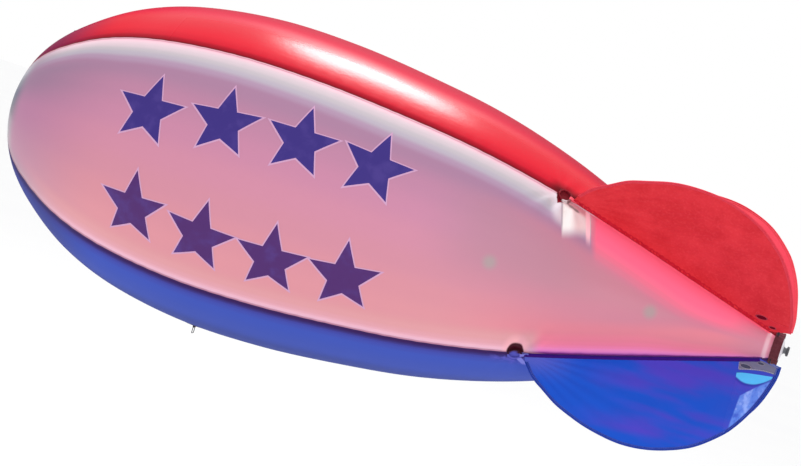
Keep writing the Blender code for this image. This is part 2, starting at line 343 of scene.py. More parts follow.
# %% A material that is painted node by node
class Paint:
    """A Principled material with helpers for its pattern."""

    def __init__(self, name, roughness, mirror=0.5, metallic=0.0):
        self.material = FINISHES[name] = bpy.data.materials.new(name)
        self.material.use_nodes = True
        self.tree = self.material.node_tree
        self.shader = self.tree.nodes["Principled BSDF"]
        for key, value in (("Roughness", roughness), ("Specular IOR Level", mirror), ("Metallic", metallic)):
            self.shader.inputs[key].default_value = value

    def node(self, kind, settings=None, output=0, **inputs):
        """Adds a node, sets it, feeds it, and returns one of its outputs."""
        made = self.tree.nodes.new(kind)
        for key, value in (settings or {}).items():
            setattr(made, key, value)
        for key, value in inputs.items():
            feed(self.tree, made.inputs[int(key[1:]) if key[1:].isdigit() else key.replace("_", " ")], value)
        return Flow(self.tree, made.outputs[output])

    def places(self):
        """Object coordinates as a vector and as three numbers."""
        spot = self.node("ShaderNodeTexCoord", output=3)
        split = self.node("ShaderNodeSeparateXYZ", i0=spot)
        numbers = [Flow(self.tree, split.socket.node.outputs[i]) for i in range(3)]
        return spot, *numbers

    def noise(self, spot, scale, detail=3.0, roughness=0.5, stretch=(1.0, 1.0, 1.0)):
        """Soft noise from 0 to 1."""
        moved = self.node("ShaderNodeMapping", i0=spot, Scale=stretch)
        return self.node("ShaderNodeTexNoise", Vector=moved, Scale=scale, Detail=detail, Roughness=roughness)

    def distance(self, spot, centre):
        """Metres from a place."""
        return self.node("ShaderNodeVectorMath", {"operation": "DISTANCE"}, 1, i0=spot, i1=tuple(centre))

    def ramp(self, value, *stops):
        """A colour for each value, from (place, colour) stops."""
        made = self.tree.nodes.new("ShaderNodeValToRGB")
        made.color_ramp.interpolation = "EASE"
        points = made.color_ramp.elements
        while len(points) < len(stops):
            points.new(0.5)
        for point, (place, colour) in zip(points, stops):
            point.position = place
            point.color = film_colour(colour)
        self.tree.links.new(value.socket, made.inputs[0])
        return Flow(self.tree, made.outputs[0])

    def mix(self, share, first, second, blend="MIX"):
        """A mix of two colours."""
        first, second = (film_colour(v) if isinstance(v, tuple) else v for v in (first, second))
        return self.node("ShaderNodeMix", {"data_type": "RGBA", "blend_type": blend}, output=2,
                         i0=share, i6=first, i7=second)

    def lay(self, share, shade):
        """Lays a colour over what is painted so far, by its share."""
        self.colour = self.mix(share, self.colour, shade)

    def bump(self, height, distance, below=None):
        """Bumps up to a distance in metres, over those that are below them."""
        under = {} if below is None else {"Normal": below}
        return self.node("ShaderNodeBump", Height=height, Distance=distance, Strength=1.0, **under)

    def finish(self, **links):
        """Feeds the shader with the colour painted and with what else is given."""
        for key, value in {"Base Color": self.colour, **links}.items():
            feed(self.tree, self.shader.inputs[key], value)


def film_colour(shown):
    """A colour as it is read on a screen, from 0 to 255, as the linear colour that a shader takes."""
    linear = [(v / 255 / 12.92) if v <= 10 else ((v / 255 + 0.055) / 1.055) ** 2.4 for v in shown]
    return (*linear, 1.0)


# %% [markdown]
# ## The hull's shape
#
# The hull is round, so one curve from nose to tail says it all. Its radius is read off a smooth curve
# through a short table, over the square root of the distance, which makes the nose round.

# %% Hull profile
# Each row: distance from the nose and radius, both as a share of the hull's length.
HULL_SECTIONS = (
    (0.000, 0.0000), (0.010, 0.0520), (0.030, 0.0867), (0.070, 0.1240), (0.130, 0.1606),
    (0.200, 0.1839), (0.300, 0.1974), (0.400, 0.1961), (0.500, 0.1856), (0.600, 0.1694),
    (0.700, 0.1418), (0.800, 0.1031), (0.900, 0.0605), (1.000, 0.0180),
)
SPOTS = [math.sqrt(row[0]) for row in HULL_SECTIONS]
RADII = [row[1] for row in HULL_SECTIONS]
LAST = len(SPOTS) - 1
SLOPES = [
    (RADII[min(i + 1, LAST)] - RADII[max(i - 1, 0)]) / (SPOTS[min(i + 1, LAST)] - SPOTS[max(i - 1, 0)])
    for i in range(LAST + 1)
]
NORMAL_STEP = 0.0005


def hull_radius(share):
    """Radius of the hull, in metres, at that share of its length from the nose."""
    where = min(math.sqrt(max(share, 0.0)), SPOTS[LAST])
    i = min(max(bisect.bisect_left(SPOTS, where) - 1, 0), LAST - 1)
    span = SPOTS[i + 1] - SPOTS[i]
    u = (where - SPOTS[i]) / span
    value = (
        (2 * u**3 - 3 * u**2 + 1) * RADII[i]
        + (u**3 - 2 * u**2 + u) * span * SLOPES[i]
        + (3 * u**2 - 2 * u**3) * RADII[i + 1]
        + (u**3 - u**2) * span * SLOPES[i + 1]
    )
    return value * LENGTH


def hull_x(share):
    return (share - 0.5) * LENGTH


def hull_share(x):
    """The share of the hull's length at x: 0 at the nose and before it, 1 at the tail and behind it."""
    return min(max(x / LENGTH + 0.5, 0.0), 1.0)


def hull_normal(share):
    """The skin's outward direction there, as (along X, away from the axis)."""
    low, high = max(share - NORMAL_STEP, 0.0), min(share + NORMAL_STEP, 1.0)
    run, rise = hull_x(high) - hull_x(low), hull_radius(high) - hull_radius(low)
    size = math.hypot(run, rise)
    return -rise / size, run / size


def from_axis(point):
    """A point's turn about the hull's axis, in radians from +Y towards +Z, and its distance from it."""
    return math.atan2(point.z, point.y), math.hypot(point.y, point.z)


def about_axis(x, turn, radius):
    """The point at x with that turn in radians and that distance from the axis."""
    return Vector((x, radius * math.cos(turn), radius * math.sin(turn)))


def on_hull(share, turn, lift=0.0):
    """A point on the skin. turn is the angle from +Y towards +Z, in degrees."""
    along, away = hull_normal(share)
    return about_axis(hull_x(share) + lift * along, math.radians(turn), hull_radius(share) + lift * away)


print("largest radius", round(max(hull_radius(i / 100) for i in range(101)), 3), "m")

# %% [markdown]
# ## The gores
#
# A real gore is a long leaf of film, sealed to the next along its edges. One could be cut out flat and
# blown up, but the shape that the gas gives it is known: a quarter of the round hull. So a line is drawn
# along the hull's profile and spun through a quarter turn. The rows of points are then drawn together
# towards the seams, where the film has its finest shape.

# %% Spin one gore
GORE_START, GORE_END, GORE_STEPS = 0.0006, 0.998, 72
STATION_STEP, CLOSER_AT_TIE, CLOSER_AT_NOSE = 0.0042, 0.0024, 0.0028
SEAM_PULL = 0.35
TIE_SHARE = 0.7145


def bell(value, width):
    """1 at 0, falling off smoothly to both sides within about the width."""
    return math.exp(-((value / width) ** 2))


def gore_shares():
    """Stations along the gore, closest together where the folds are."""
    shares, share = [], GORE_START
    while share < GORE_END:
        shares.append(share)
        closer = CLOSER_AT_TIE * bell(share - TIE_SHARE, 0.035)
        share += STATION_STEP - closer - CLOSER_AT_NOSE * math.exp(-share / 0.01)
    return shares + [1.0]


def nearer_seams(point):
    """Turns a point of the gore towards the nearer seam."""
    turn, radius = from_axis(point)
    away = (math.degrees(turn) - 90.0) / 45.0
    turn = math.radians(90.0 + 45.0 * away * (1.0 + SEAM_PULL * (1.0 - away * away)))
    return about_axis(point.x, turn, radius)


gore = drawn_line([on_hull(share, 135.0) for share in gore_shares()])
bpy.ops.mesh.spin(steps=GORE_STEPS, angle=math.radians(90.0), center=(0, 0, 0), axis=(1, 0, 0))
reshape(gore, nearer_seams)
turns = [math.degrees(math.atan2(v.co.z, v.co.y)) for v in gore.data.vertices]
print("gore points", len(turns), "from", round(min(turns)), "to", round(max(turns)), "degrees")

# %% [markdown]
# The seams hold the film in, so that it bulges between them and puckers beside them. Where a fin's corner
# is tied on, the film gathers into short folds that fan out from the tie. A seam has the same puckers in
# both of its gores, so each seam has a seed of its own.

# %% How the film lies beside a seam
# Each row: name, turn from +Y towards +Z in degrees, seed of its puckers, height of its folds.
SEAMS = (
    ("top_starboard", 45.0, 1.7, 0.010),
    ("top_port", 135.0, 0.4, 0.012),
    ("belly_port", 225.0, 2.9, 0.006),
    ("belly_starboard", 315.0, 4.1, 0.006),
)
SEAM_DIP, SEAM_REACH = 0.0045, 0.028
PUCKER_HEIGHT, PUCKER_REACH, PUCKER_LENGTH = 0.0015, 0.080, 0.118
FAN_FOOT, FAN_FOLDS, FAN_SPREAD = 0.13, 13.5, 0.62
FOLD_START, FOLD_FULL, FOLD_LENGTH = 0.054, 0.100, 0.125
TOP_GORE_FOLDS = 0.3
NOSE_FADE = (0.004, 0.03)


def rise(value, low, high):
    """0 up to low, 1 from high, smooth between."""
    u = min(max((value - low) / (high - low), 0.0), 1.0)
    return u * u * (3.0 - 2.0 * u)


def waver(x, seed):
    """A slow irregular wave between about -1 and 1."""
    return (math.sin(5.1 * x + seed) + math.sin(8.7 * x + 2.3 * seed) + math.sin(13.9 * x + 0.7 * seed)) / 2.2


def film_press(x, side, seed, fold):
    """How far the film stands proud at x, side metres from a seam."""
    side = abs(side)
    valley = -SEAM_DIP * bell(side, SEAM_REACH)
    pucker = PUCKER_HEIGHT * math.sin(2 * math.pi * (x + 0.02 * waver(x, seed)) / PUCKER_LENGTH)
    pucker *= bell(side, PUCKER_REACH) * (0.55 + 0.45 * waver(2.0 * x, seed + 1.0))
    fan = (x - hull_x(TIE_SHARE)) / (side + FAN_FOOT)
    gather = fold * math.cos(FAN_FOLDS * fan + 0.4 * math.sin(3.0 * fan + seed)) * bell(fan, FAN_SPREAD)
    gather *= rise(side, FOLD_START, FOLD_FULL) * bell(max(side - FOLD_FULL, 0.0), FOLD_LENGTH)
    return (valley + pucker + gather) * rise(hull_share(x), *NOSE_FADE)


def pressed(point):
    """A point of a gore after the seams have pulled at it."""
    turn = math.degrees(from_axis(point)[0]) % 360.0
    offsets = [(turn - row[1] + 180.0) % 360.0 - 180.0 for row in SEAMS]
    away, (_, _, seed, fold) = min(zip(offsets, SEAMS), key=lambda pair: abs(pair[0]))
    share = hull_share(point.x)
    side = math.radians(away) * hull_radius(share)
    fold *= TOP_GORE_FOLDS if 45.0 < turn < 135.0 else 1.0
    return on_hull(share, turn, film_press(point.x, side, seed, fold))


# %% Turn, press and thicken the four gores
FILM = 0.003
# Each row: node, turn of its middle from that of the top gore in degrees, film.
GORES = (
    ("gore_top", 0.0, "red_film"), ("gore_port", 90.0, "white_film"),
    ("gore_belly", 180.0, "blue_film"), ("gore_starboard", 270.0, "white_film"),
)
gores = {}
for node, turn, film in GORES:
    piece = copy_of(gore, "film_" + node)
    piece.rotation_euler.x = math.radians(turn)
    settle(piece, "film_" + node)
    face_out(reshape(piece, pressed))
    faces = piece.data.polygons
    if sum(face.normal.dot(Vector((0.0, face.center.y, face.center.z))) for face in faces) < 0.0:
        edit(piece)
        bpy.ops.mesh.flip_normals()
        fresh()
    apply_modifier(piece, "SOLIDIFY", thickness=FILM, offset=-1.0)
    gores[node] = settle(piece, "film_" + node, 60.0)
discard(gore)

# %% [markdown]
# ## Seam tapes
#
# Each seam is covered by a narrow tape. It is a strip between two lines that run beside the seam.
# It is laid along the top of the hull, pressed by the same rule as the film so that it lies in the same
# valley, and turned to its seam. All that sits on a seam is made in this way: upright first, then turned.

# %% Seam tapes
TAPE_START, TAPE_END = 0.0066, 0.9900
TAPE_HALF, TAPE_SKIN, TAPE_LIFT = 0.011, 0.0014, 0.0014


def beside_seam(share, side, lift=0.0):
    """A point side metres beside a seam that runs along the top of the hull."""
    return on_hull(share, 90.0 - math.degrees(side / hull_radius(share)), lift)


def on_seams(piece, prefix, smooth=35.0, shape=None, skin=0.0, seams=SEAMS):
    """Copies a piece from the top of the hull to each seam, after shape(copy, seam) and a thickness."""
    copies = {}
    for seam in seams:
        name, turn, *_ = seam
        twin = copy_of(piece, prefix + name)
        if shape:
            shape(twin, seam)
        if skin:
            thicken(twin, skin)
        twin.rotation_euler.x = math.radians(turn - 90.0)
        copies[name] = settle(twin, prefix + name, smooth)
    discard(piece)
    return copies


def laid_on_film(piece, seam):
    """Presses a piece beside the top line as the film under it is pressed."""
    def laid(point):
        share = hull_share(point.x)
        side = math.atan2(point.y, point.z) * hull_radius(share)
        height = math.hypot(point.y, point.z) - hull_radius(share)
        return beside_seam(share, side, height + TAPE_LIFT + film_press(point.x, side, *seam[2:]))

    reshape(piece, laid)


tape_shares = [share for share in gore_shares() if TAPE_START < share < TAPE_END]
tape_edges = [[beside_seam(share, side) for share in tape_shares] for side in (-TAPE_HALF, TAPE_HALF)]
tapes = on_seams(sheet_between(*tape_edges, 6), "tape_", shape=laid_on_film, skin=TAPE_SKIN)
print("seam tapes", len(tapes), "of", 2 * len(tapes["top_port"].data.polygons), "triangles")

# %% [markdown]
# ## Nose and tail
#
# A round patch closes the nose, where the four gores come to a point. At the tail a dark band gathers the
# film, a pale cap closes it, and the valve for the gas stands in its middle. All are turned parts, so each
# is a line of points spun about the hull's axis.

# %% Nose patch
NOSE_PATCH_SHARES = (0.0060, 0.0052, 0.0042, 0.0030, 0.0020, 0.0012, 0.0006, 0.0002)
NOSE_PATCH_SEAT, NOSE_PATCH_LIFT = 0.0004, 0.0030


def lifted(share, lift):
    """A point (x, radius) above the skin."""
    along, away = hull_normal(share)
    return hull_x(share) + lift * along, hull_radius(share) + lift * away


skin_under = [lifted(share, NOSE_PATCH_SEAT) for share in NOSE_PATCH_SHARES]
skin_over = [lifted(share, NOSE_PATCH_LIFT) for share in NOSE_PATCH_SHARES[1:]]
tip_under, tip_over = (hull_x(0.0) - NOSE_PATCH_SEAT, 0.0), (hull_x(0.0) - NOSE_PATCH_LIFT, 0.0)
nose_patch = spun([tip_under, *skin_under[::-1], *skin_over, tip_over], 120)
settle(nose_patch, "nose_disc", 40.0)
print("nose patch", round(2 * skin_under[0][1], 3), "m across")

# %% Tail band with its gathers
BAND_START, BAND_REACH = 0.9945, 0.034
BAND_LOBES, BAND_GATHER = 22, 0.0018
ROUND_STEPS = 176
band_front, band_rear = lifted(BAND_START, 0.0), lifted(1.0, 0.0)
band_length = band_rear[0] + BAND_REACH - band_front[0]
# Each row: part of the way from the band's front to its rear, height over the skin.
BAND_SECTION = (
    (0.00, 0.0010), (0.00, 0.0070), (0.08, 0.0088), (0.20, 0.0066), (0.34, 0.0056), (0.42, 0.0086),
    (0.50, 0.0092), (0.58, 0.0086), (0.66, 0.0056), (0.80, 0.0066), (0.92, 0.0088), (1.00, 0.0070),
    (1.00, 0.0005), (0.50, 0.0005), (0.00, 0.0010),
)


def band_point(part, height):
    """A point (x, radius) of the band."""
    level = min(part * band_length / (band_rear[0] - band_front[0]), 1.0)
    return band_front[0] + part * band_length, band_front[1] + level * (band_rear[1] - band_front[1]) + height


def lobes(turn):
    """The angle of the gathers' wave, which runs through all of them in one turn."""
    return BAND_LOBES * turn + 0.8 * math.sin(3 * turn)


def gathered(point):
    """Ripples round the hull's axis."""
    turn, radius = from_axis(point)
    radius += BAND_GATHER * math.sin(lobes(turn)) * rise(radius, 0.03, 0.10)
    return about_axis(point.x, turn, radius)


tail_band = spun([band_point(part, height) for part, height in BAND_SECTION], ROUND_STEPS)
settle(reshape(tail_band, gathered), "tail_band", 50.0)
print("tail band", round(band_length, 3), "m long")

# %% Tail cap, valve and valve cap
SEAT, CAP_EDGE, CAP_BULGE, CAP_STEPS, CAP_DENT = 0.0003, 0.004, 0.045, 14, 0.0022
GRIPS, GRIP_DEPTH, GRIP_FROM = 24, 0.0012, 0.0335
# Each row: distance behind the foot of the valve or of its cap, radius.
VALVE_SECTION = (
    (0.0000, 0.0000), (0.0000, 0.0275), (0.0008, 0.0280), (0.0040, 0.0280), (0.0050, 0.0265),
    (0.0056, 0.0225), (0.0175, 0.0220), (0.0182, 0.0245), (0.0214, 0.0250), (0.0220, 0.0240),
    (0.0220, 0.0000),
)
PLUG_SECTION = (
    (0.0000, 0.0000), (0.0000, 0.0345), (0.0012, 0.0360), (0.0150, 0.0360), (0.0170, 0.0345),
    (0.0180, 0.0320), (0.0180, 0.0150), (0.0168, 0.0140), (0.0168, 0.0000),
)
cap_base = hull_x(1.0) + SEAT
cap_radius = hull_radius(1.0)
valve_base = cap_base + CAP_EDGE + CAP_BULGE + SEAT
cap_line = [(cap_base, 0.0), (cap_base, cap_radius * 0.985)]
for i in range(CAP_STEPS + 1):
    lean = math.radians(90.0 * i / CAP_STEPS)
    cap_line.append((cap_base + CAP_EDGE + CAP_BULGE * math.sin(lean), cap_radius * math.cos(lean)))


def cap_folds(point):
    """Soft folds that run from the cap's middle to its rim."""
    turn, radius = from_axis(point)
    dent = CAP_DENT * (1.0 - math.cos(lobes(turn)))
    point.x -= dent * rise(radius, 0.030, 0.08) * rise(point.x, cap_base + 0.004, cap_base + 0.02)
    return point


def gripped(point):
    """Grooves round the edge of the valve's cap, for the fingers."""
    turn, radius = from_axis(point)
    if radius > GRIP_FROM:
        radius -= GRIP_DEPTH * (0.5 + 0.5 * math.cos(GRIPS * turn))
    return about_axis(point.x, turn, radius)


tail_cap = settle(reshape(spun(cap_line, ROUND_STEPS), cap_folds), "tail_dome", 50.0)
valve = settle(spun([(valve_base + x, radius) for x, radius in VALVE_SECTION], 64), "valve_body")
plug_base = valve_base + VALVE_SECTION[-1][0] + SEAT
plug = settle(spun([(plug_base + x, radius) for x, radius in PLUG_SECTION], 96), "valve_plug")
reshape(plug, gripped)
print("valve ends at", round(max(v.co.x for v in plug.data.vertices), 4), "m")

# %% [markdown]
# ## Fins
#
# A fin is one flat cloth, cut to shape, hemmed round its free edge and tied on by its corners. Two lines
# are drawn, its root along the seam and its free edge, and the cloth is bridged between them. It is pulled
# from its front corner, so shallow wrinkles run out from there.

# %% The fin's two lines
FIN_FRONT, FIN_REAR = 0.7250, 0.9850
# Each row: distance from the nose and distance from the hull's axis, as a share of the hull's length.
FIN_EDGE = (
    (0.7300, 0.1455), (0.7440, 0.1630), (0.7640, 0.1785), (0.7900, 0.1950), (0.8300, 0.2100),
    (0.8700, 0.2160), (0.9090, 0.2090), (0.9450, 0.1900), (0.9740, 0.1585), (0.9900, 0.1295),
    (1.0008, 0.0990), (1.0082, 0.0665), (1.0110, 0.0480), (1.0116, 0.0310),
)
FIN_STEPS, FIN_CUTS = 110, 46
HEM_WIDTH = 0.025
ROOT_SEAT = 0.0005


def smooth_line(points, steps=8):
    """A smooth curve through the points (Catmull-Rom)."""
    line, last = [], len(points) - 1
    for i in range(last):
        p0, p1, p2, p3 = (points[min(max(k, 0), last)] for k in (i - 1, i, i + 1, i + 2))
        for k in range(steps):
            u = k / steps
            line.append(
                0.5 * (2 * p1 + (p2 - p0) * u + (2 * p0 - 5 * p1 + 4 * p2 - p3) * u**2
                       + (3 * p1 - p0 - 3 * p2 + p3) * u**3)
            )
    return line + [points[-1]]


def evenly(line, count):
    """The same line with that many points at equal distances."""
    reach, spots, i = lengths(line), [], 0
    for k in range(count):
        goal = reach[-1] * k / (count - 1)
        while i < len(line) - 2 and reach[i + 1] < goal:
            i += 1
        spots.append(line[i].lerp(line[i + 1], (goal - reach[i]) / (reach[i + 1] - reach[i])))
    return spots


def in_plane(table, count):
    """A smooth line in the fin's plane through a table's places, with that many points."""
    return evenly(smooth_line([Vector((hull_x(share), 0.0, away * LENGTH)) for share, away in table]), count)


def inset(line, depth):
    """The line moved to its right-hand side within the XZ plane."""
    runs = [direction(line, i) for i in range(len(line))]
    return [spot + depth * Vector((run.z, 0.0, -run.x)) for spot, run in zip(line, runs)]


def along_root(count, lift):
    """A line along the fin's root, at a height over the skin."""
    return [on_hull(FIN_FRONT + (FIN_REAR - FIN_FRONT) * i / (count - 1), 90.0, lift) for i in range(count)]


edge_line = in_plane(FIN_EDGE, FIN_STEPS)
root_line = along_root(FIN_STEPS, ROOT_SEAT)

# %% Cloth of the fin
FIN_CLOTH = 0.0022
BELLY_SAG, WRINKLE, EDGE_WAVE = 0.007, 0.0030, 0.0022
fin_corner = root_line[0]


def from_line(point, line):
    """Distance within the XZ plane from a point to a line."""
    spot = Vector((point.x, 0.0, point.z))
    return min((spot - other).length for other in line)


def over_skin(x, away):
    """Height over the skin at x, of a place that far from the hull's axis."""
    return away - hull_radius(hull_share(x))


def fin_wave(x, z, seed):
    """How far the cloth stands off its plane there."""
    over_root = over_skin(x, z)
    reach = math.hypot(x - fin_corner.x, z - fin_corner.z)
    lean = math.atan2(z - fin_corner.z, x - fin_corner.x)
    sag = BELLY_SAG * math.sin(2.6 * (x - fin_corner.x) + seed) * rise(over_root, 0.0, 0.55)
    pull = WRINKLE * math.sin(34.0 * lean + 1.3 * seed) * rise(reach, 0.05, 0.35) * math.exp(-reach / 1.1)
    ripple = EDGE_WAVE * math.sin(15.0 * x + 11.0 * z + 2.0 * seed) * rise(over_root, 0.15, 0.6)
    return (sag + pull + ripple) * rise(over_root, 0.0, 0.10)


def waved(piece, seam):
    """Moves a piece of the fin with the cloth."""
    return reshape(piece, lambda p: Vector((p.x, p.y + fin_wave(p.x, p.z, seam[2]), p.z)))


fin = sheet_between(inset(edge_line, 0.004), root_line, FIN_CUTS)
fins = on_seams(fin, "cloth_fin_", 60.0, waved, FIN_CLOTH)

# %% [markdown]
# The hem is the cloth's edge folded round a cord and sewn down. Its strip is bridged like the cloth, and
# its thickness is then scaled: round over the cord at the very edge, thin over the fold. A second hem runs
# along the root, drawn up in small folds. A stitch is one small thread, repeated with an array and laid
# along the hem.

# %% Hem
HEM_CORD, HEM_FOLD, HEM_LIP = 0.0055, 0.0019, 0.0026
ROOT_HEM, ROOT_HALF, ROOT_STEPS = 0.034, 0.0028, 400
ROOT_CRUMPLE = {"top": 0.0052, "belly": 0.0006}


def hem_height(depth):
    """Half of the hem's thickness, at a distance in from the edge."""
    cord = math.sqrt(max(HEM_CORD**2 - (depth - HEM_CORD) ** 2, 0.0))
    lip = HEM_FOLD + (HEM_LIP - HEM_FOLD) * bell(depth - HEM_WIDTH + 0.002, 0.003)
    return max(cord, lip if depth > HEM_CORD else 0.0006)


def crumpled(point, depth):
    """The root's gathers: the cloth is drawn up on a cord, so it stands in small uneven folds."""
    over = over_skin(point.x, point.z)
    wave = math.sin(97.0 * point.x + 5.0 * math.sin(17.0 * point.x)) * (0.7 + 0.5 * math.sin(31.0 * point.x))
    wave += 0.5 * math.sin(263.0 * point.x + 60.0 * over)
    fade = rise(over, 0.002, 0.012) * rise(over, ROOT_HEM, 0.6 * ROOT_HEM) if over < ROOT_HEM else 0.0
    point.y += depth * wave * fade * 0.7
    point.z += 0.8 * depth * math.sin(148.0 * point.x) * over / ROOT_HEM
    return point


def drawn_up(piece, seam):
    """A root hem, drawn up most on the top fins, that moves with the cloth."""
    depth = ROOT_CRUMPLE[seam[0].split("_")[0]]
    return waved(reshape(piece, lambda point: crumpled(point, depth)), seam)


hem = thicken(sheet_between(edge_line, inset(edge_line, HEM_WIDTH), 13), 0.002)
reshape(hem, lambda p: Vector((p.x, math.copysign(hem_height(from_line(p, edge_line)), p.y), p.z)))
hems = on_seams(hem, "hem_", 50.0, waved)
root_hem = sheet_between(along_root(ROOT_STEPS, 0.0016), along_root(ROOT_STEPS, ROOT_HEM), 8)
root_hems = on_seams(thicken(root_hem, 2 * ROOT_HALF), "root_hem_", 50.0, drawn_up)
print("hem and root hem", [len(group["top_port"].data.polygons) for group in (hems, root_hems)], "faces")

# %% Stitches
STITCH, STITCH_PITCH, THREAD, THREAD_LIFT = 0.0085, 0.0125, 0.0010, 0.0003


def stitch_row(line, height):
    """A row of stitches along a line in the XZ plane, at a height along Y."""
    reach = lengths(line)
    row = primitive(
        bpy.ops.mesh.primitive_cylinder_add, "stitch", vertices=6, radius=THREAD, depth=STITCH,
        location=(STITCH / 2, 0, 0), rotation=(0, math.pi / 2, 0),
    )
    apply_modifier(row, "ARRAY", count=int(reach[-1] / STITCH_PITCH), use_relative_offset=False,
                   use_constant_offset=True, constant_offset_displace=(STITCH_PITCH, 0.0, 0.0))

    def laid(point):
        i = min(max(bisect.bisect(reach, point.x) - 1, 0), len(line) - 2)
        run = (line[i + 1] - line[i]).normalized()
        spot = line[i] + (point.x - reach[i]) * run
        return spot + Vector((-run.z * point.z, height + point.y, run.x * point.z))

    return reshape(row, laid)


def both_rows(line, half):
    """A row of stitches on each side of a sheet of that half thickness."""
    return [stitch_row(line, side * (half + THREAD_LIFT)) for side in (-1, 1)]


def flat_row(line, height):
    """A row of stitches along a line in the XZ plane, turned to lie flat at a height along Z."""
    return reshape(stitch_row(line, 0.0), lambda p: Vector((p.x, p.z, height + p.y)))


threads = joined(
    both_rows(inset(edge_line, 0.0135), HEM_FOLD) + both_rows(inset(edge_line, 0.0215), HEM_LIP), "threads"
)
stitches = on_seams(threads, "stitches_", shape=waved)
print("stitches", len(stitches["top_port"].data.polygons), "faces a fin")

# %% [markdown]
# At its rear corner each fin has a sewn patch with two eyelets, through which it is tied to the tail. The
# belly fins also have a panel of crinkled film along their rear edge, painted lighter as light comes through
# it.

# %% Rear patches and eyelets
# Each row: distance from the nose and from the hull's axis, as a share of the hull's length.
PATCH_TOP = ((0.9665, 0.0520), (0.9800, 0.0465), (0.9950, 0.0425), (1.0088, 0.0420))
PATCH_FOOT = ((0.9640, 0.0395), (0.9760, 0.0325), (0.9880, 0.0272), (1.0086, 0.0312))
PATCH_HALF = 0.0024
# Each row: distance from the nose and from the hull's axis, as a share of its length, half height, stretch.
EYELETS = ((0.9730, 0.0435, 0.0200, 2.1), (0.9885, 0.0320, 0.0130, 2.0))
EYELET_RIM = 0.0022
patch_top, patch_foot = in_plane(PATCH_TOP, 40), in_plane(PATCH_FOOT, 40)
patch = thicken(sheet_between(patch_top, patch_foot, 12), 2 * PATCH_HALF)
border = evenly([patch_foot[0], *inset(patch_top, 0.006)], 60)
corner_patches = on_seams(patch, "rear_patch_", shape=waved)
patch_rows = joined(both_rows(border[1:-1], PATCH_HALF), "threads")
corner_threads = on_seams(patch_rows, "patch_stitches_", shape=waved)
rims, holes = [], []
for share, away, tall, stretch in EYELETS:
    for side in (-1, 1):
        rims.append(primitive(
            bpy.ops.mesh.primitive_torus_add, "rim", (stretch, 1.0, 1.0),
            location=(hull_x(share), side * PATCH_HALF, away * LENGTH), rotation=(math.pi / 2, 0.0, 0.0),
            major_radius=tall, minor_radius=EYELET_RIM, major_segments=36, minor_segments=10,
        ))
    # Each hole is a dark disc, which stands for the shade in the eyelet.
    holes.append(primitive(
        bpy.ops.mesh.primitive_cylinder_add, "hole", (stretch, 1.0, 1.0),
        location=(hull_x(share), 0.0, away * LENGTH), rotation=(math.pi / 2, 0.0, 0.0),
        vertices=36, radius=tall, depth=2 * PATCH_HALF + 0.0012,
    ))
eyelets = on_seams(joined(rims, "rims"), "eyelets_", shape=waved)
eyelet_holes = on_seams(joined(holes, "holes"), "eyelet_holes_", shape=waved)
print("rear patches", len(corner_patches), "eyelets", 2 * len(eyelets))

# %% Rear panels of the belly fins, painted lighter by the light through them
PANEL_FRONT = ((0.9655, 0.0560), (0.9700, 0.1000), (0.9705, 0.1240), (0.9725, 0.1430), (0.9750, 0.1540))
PANEL_REAR_FROM, PANEL_FOOT = hull_x(0.9760), 0.0440 * LENGTH
PANEL_HALF, CRINKLE = 0.0020, 0.0022
panel_front = in_plane(PANEL_FRONT, 50)
inner_edge = inset(edge_line, 0.020)[::-1]
panel_rear = evenly([p for p in inner_edge if p.x > PANEL_REAR_FROM and p.z > PANEL_FOOT], 50)


def crinkled(point):
    """Small creases, crossing each other."""
    height = math.sin(61.0 * point.x + 23.0 * point.z) * math.sin(37.0 * point.z - 18.0 * point.x + 1.0)
    height += 0.5 * math.sin(97.0 * point.z + 31.0 * point.x)
    edge_fade = rise(from_line(point, panel_front), 0.0, 0.03) * rise(from_line(point, panel_rear), 0.0, 0.03)
    point.y += math.copysign(0.5 + 0.5 * height, point.y) * CRINKLE * edge_fade
    return point


panel = reshape(thicken(sheet_between(panel_front, panel_rear, 22), 2 * PANEL_HALF), crinkled)
panels = on_seams(panel, "rear_panel_", 60.0, waved, seams=SEAMS[2:])
print("rear panels", len(panels))

# %% [markdown]
# ## What ties a fin's front corner
#
# A square of webbing is sewn over the seam. A loop of cord lies on it, and a strap runs from the loop to
# the fin. The cord is laid of three strands, so three thin bars are wound about one middle line.

# %% Anchor patches
ANCHOR_LENGTH, ANCHOR_WIDTH, ANCHOR_HALF, ANCHOR_LIFT = 0.106, 0.108, 0.0009, 0.0016
ROUNDING, SQUARE_STEPS = 0.07, 160


def near_tie(along, across, height):
    """A point behind and beside the tie, at a height over the skin."""
    share = TIE_SHARE + along * hull_normal(TIE_SHARE)[1] / LENGTH
    return beside_seam(share, across, height)


def pillowed(point):
    """Rounds a square's corners a little and lays it on the hull."""
    u, v = 2 * point.x / ANCHOR_LENGTH, 2 * point.y / ANCHOR_WIDTH
    along, across = point.x * (1 - ROUNDING * v * v), point.y * (1 - ROUNDING * u * u)
    return near_tie(along, across, ANCHOR_LIFT + point.z)


def square(length, width):
    """A line round a square in the XZ plane, about its middle."""
    a, b = length / 2, width / 2
    corners = ((-a, -b), (a, -b), (a, b), (-a, b), (-a, -b))
    return evenly([Vector((x, 0.0, z)) for x, z in corners], SQUARE_STEPS)


anchor = primitive(
    bpy.ops.mesh.primitive_grid_add, "anchor", (ANCHOR_LENGTH, ANCHOR_WIDTH, 1.0),
    x_subdivisions=24, y_subdivisions=24, size=1.0,
)
anchors = on_seams(reshape(thicken(anchor, 2 * ANCHOR_HALF), pillowed), "anchor_")
seams_in = [square(ANCHOR_LENGTH - depth, ANCHOR_WIDTH - depth) for depth in (0.012, 0.020)]
anchor_rows = joined([flat_row(line, ANCHOR_HALF + THREAD_LIFT) for line in seams_in], "threads")
anchor_threads = on_seams(reshape(anchor_rows, pillowed), "anchor_stitches_")
print("anchors", len(anchors))

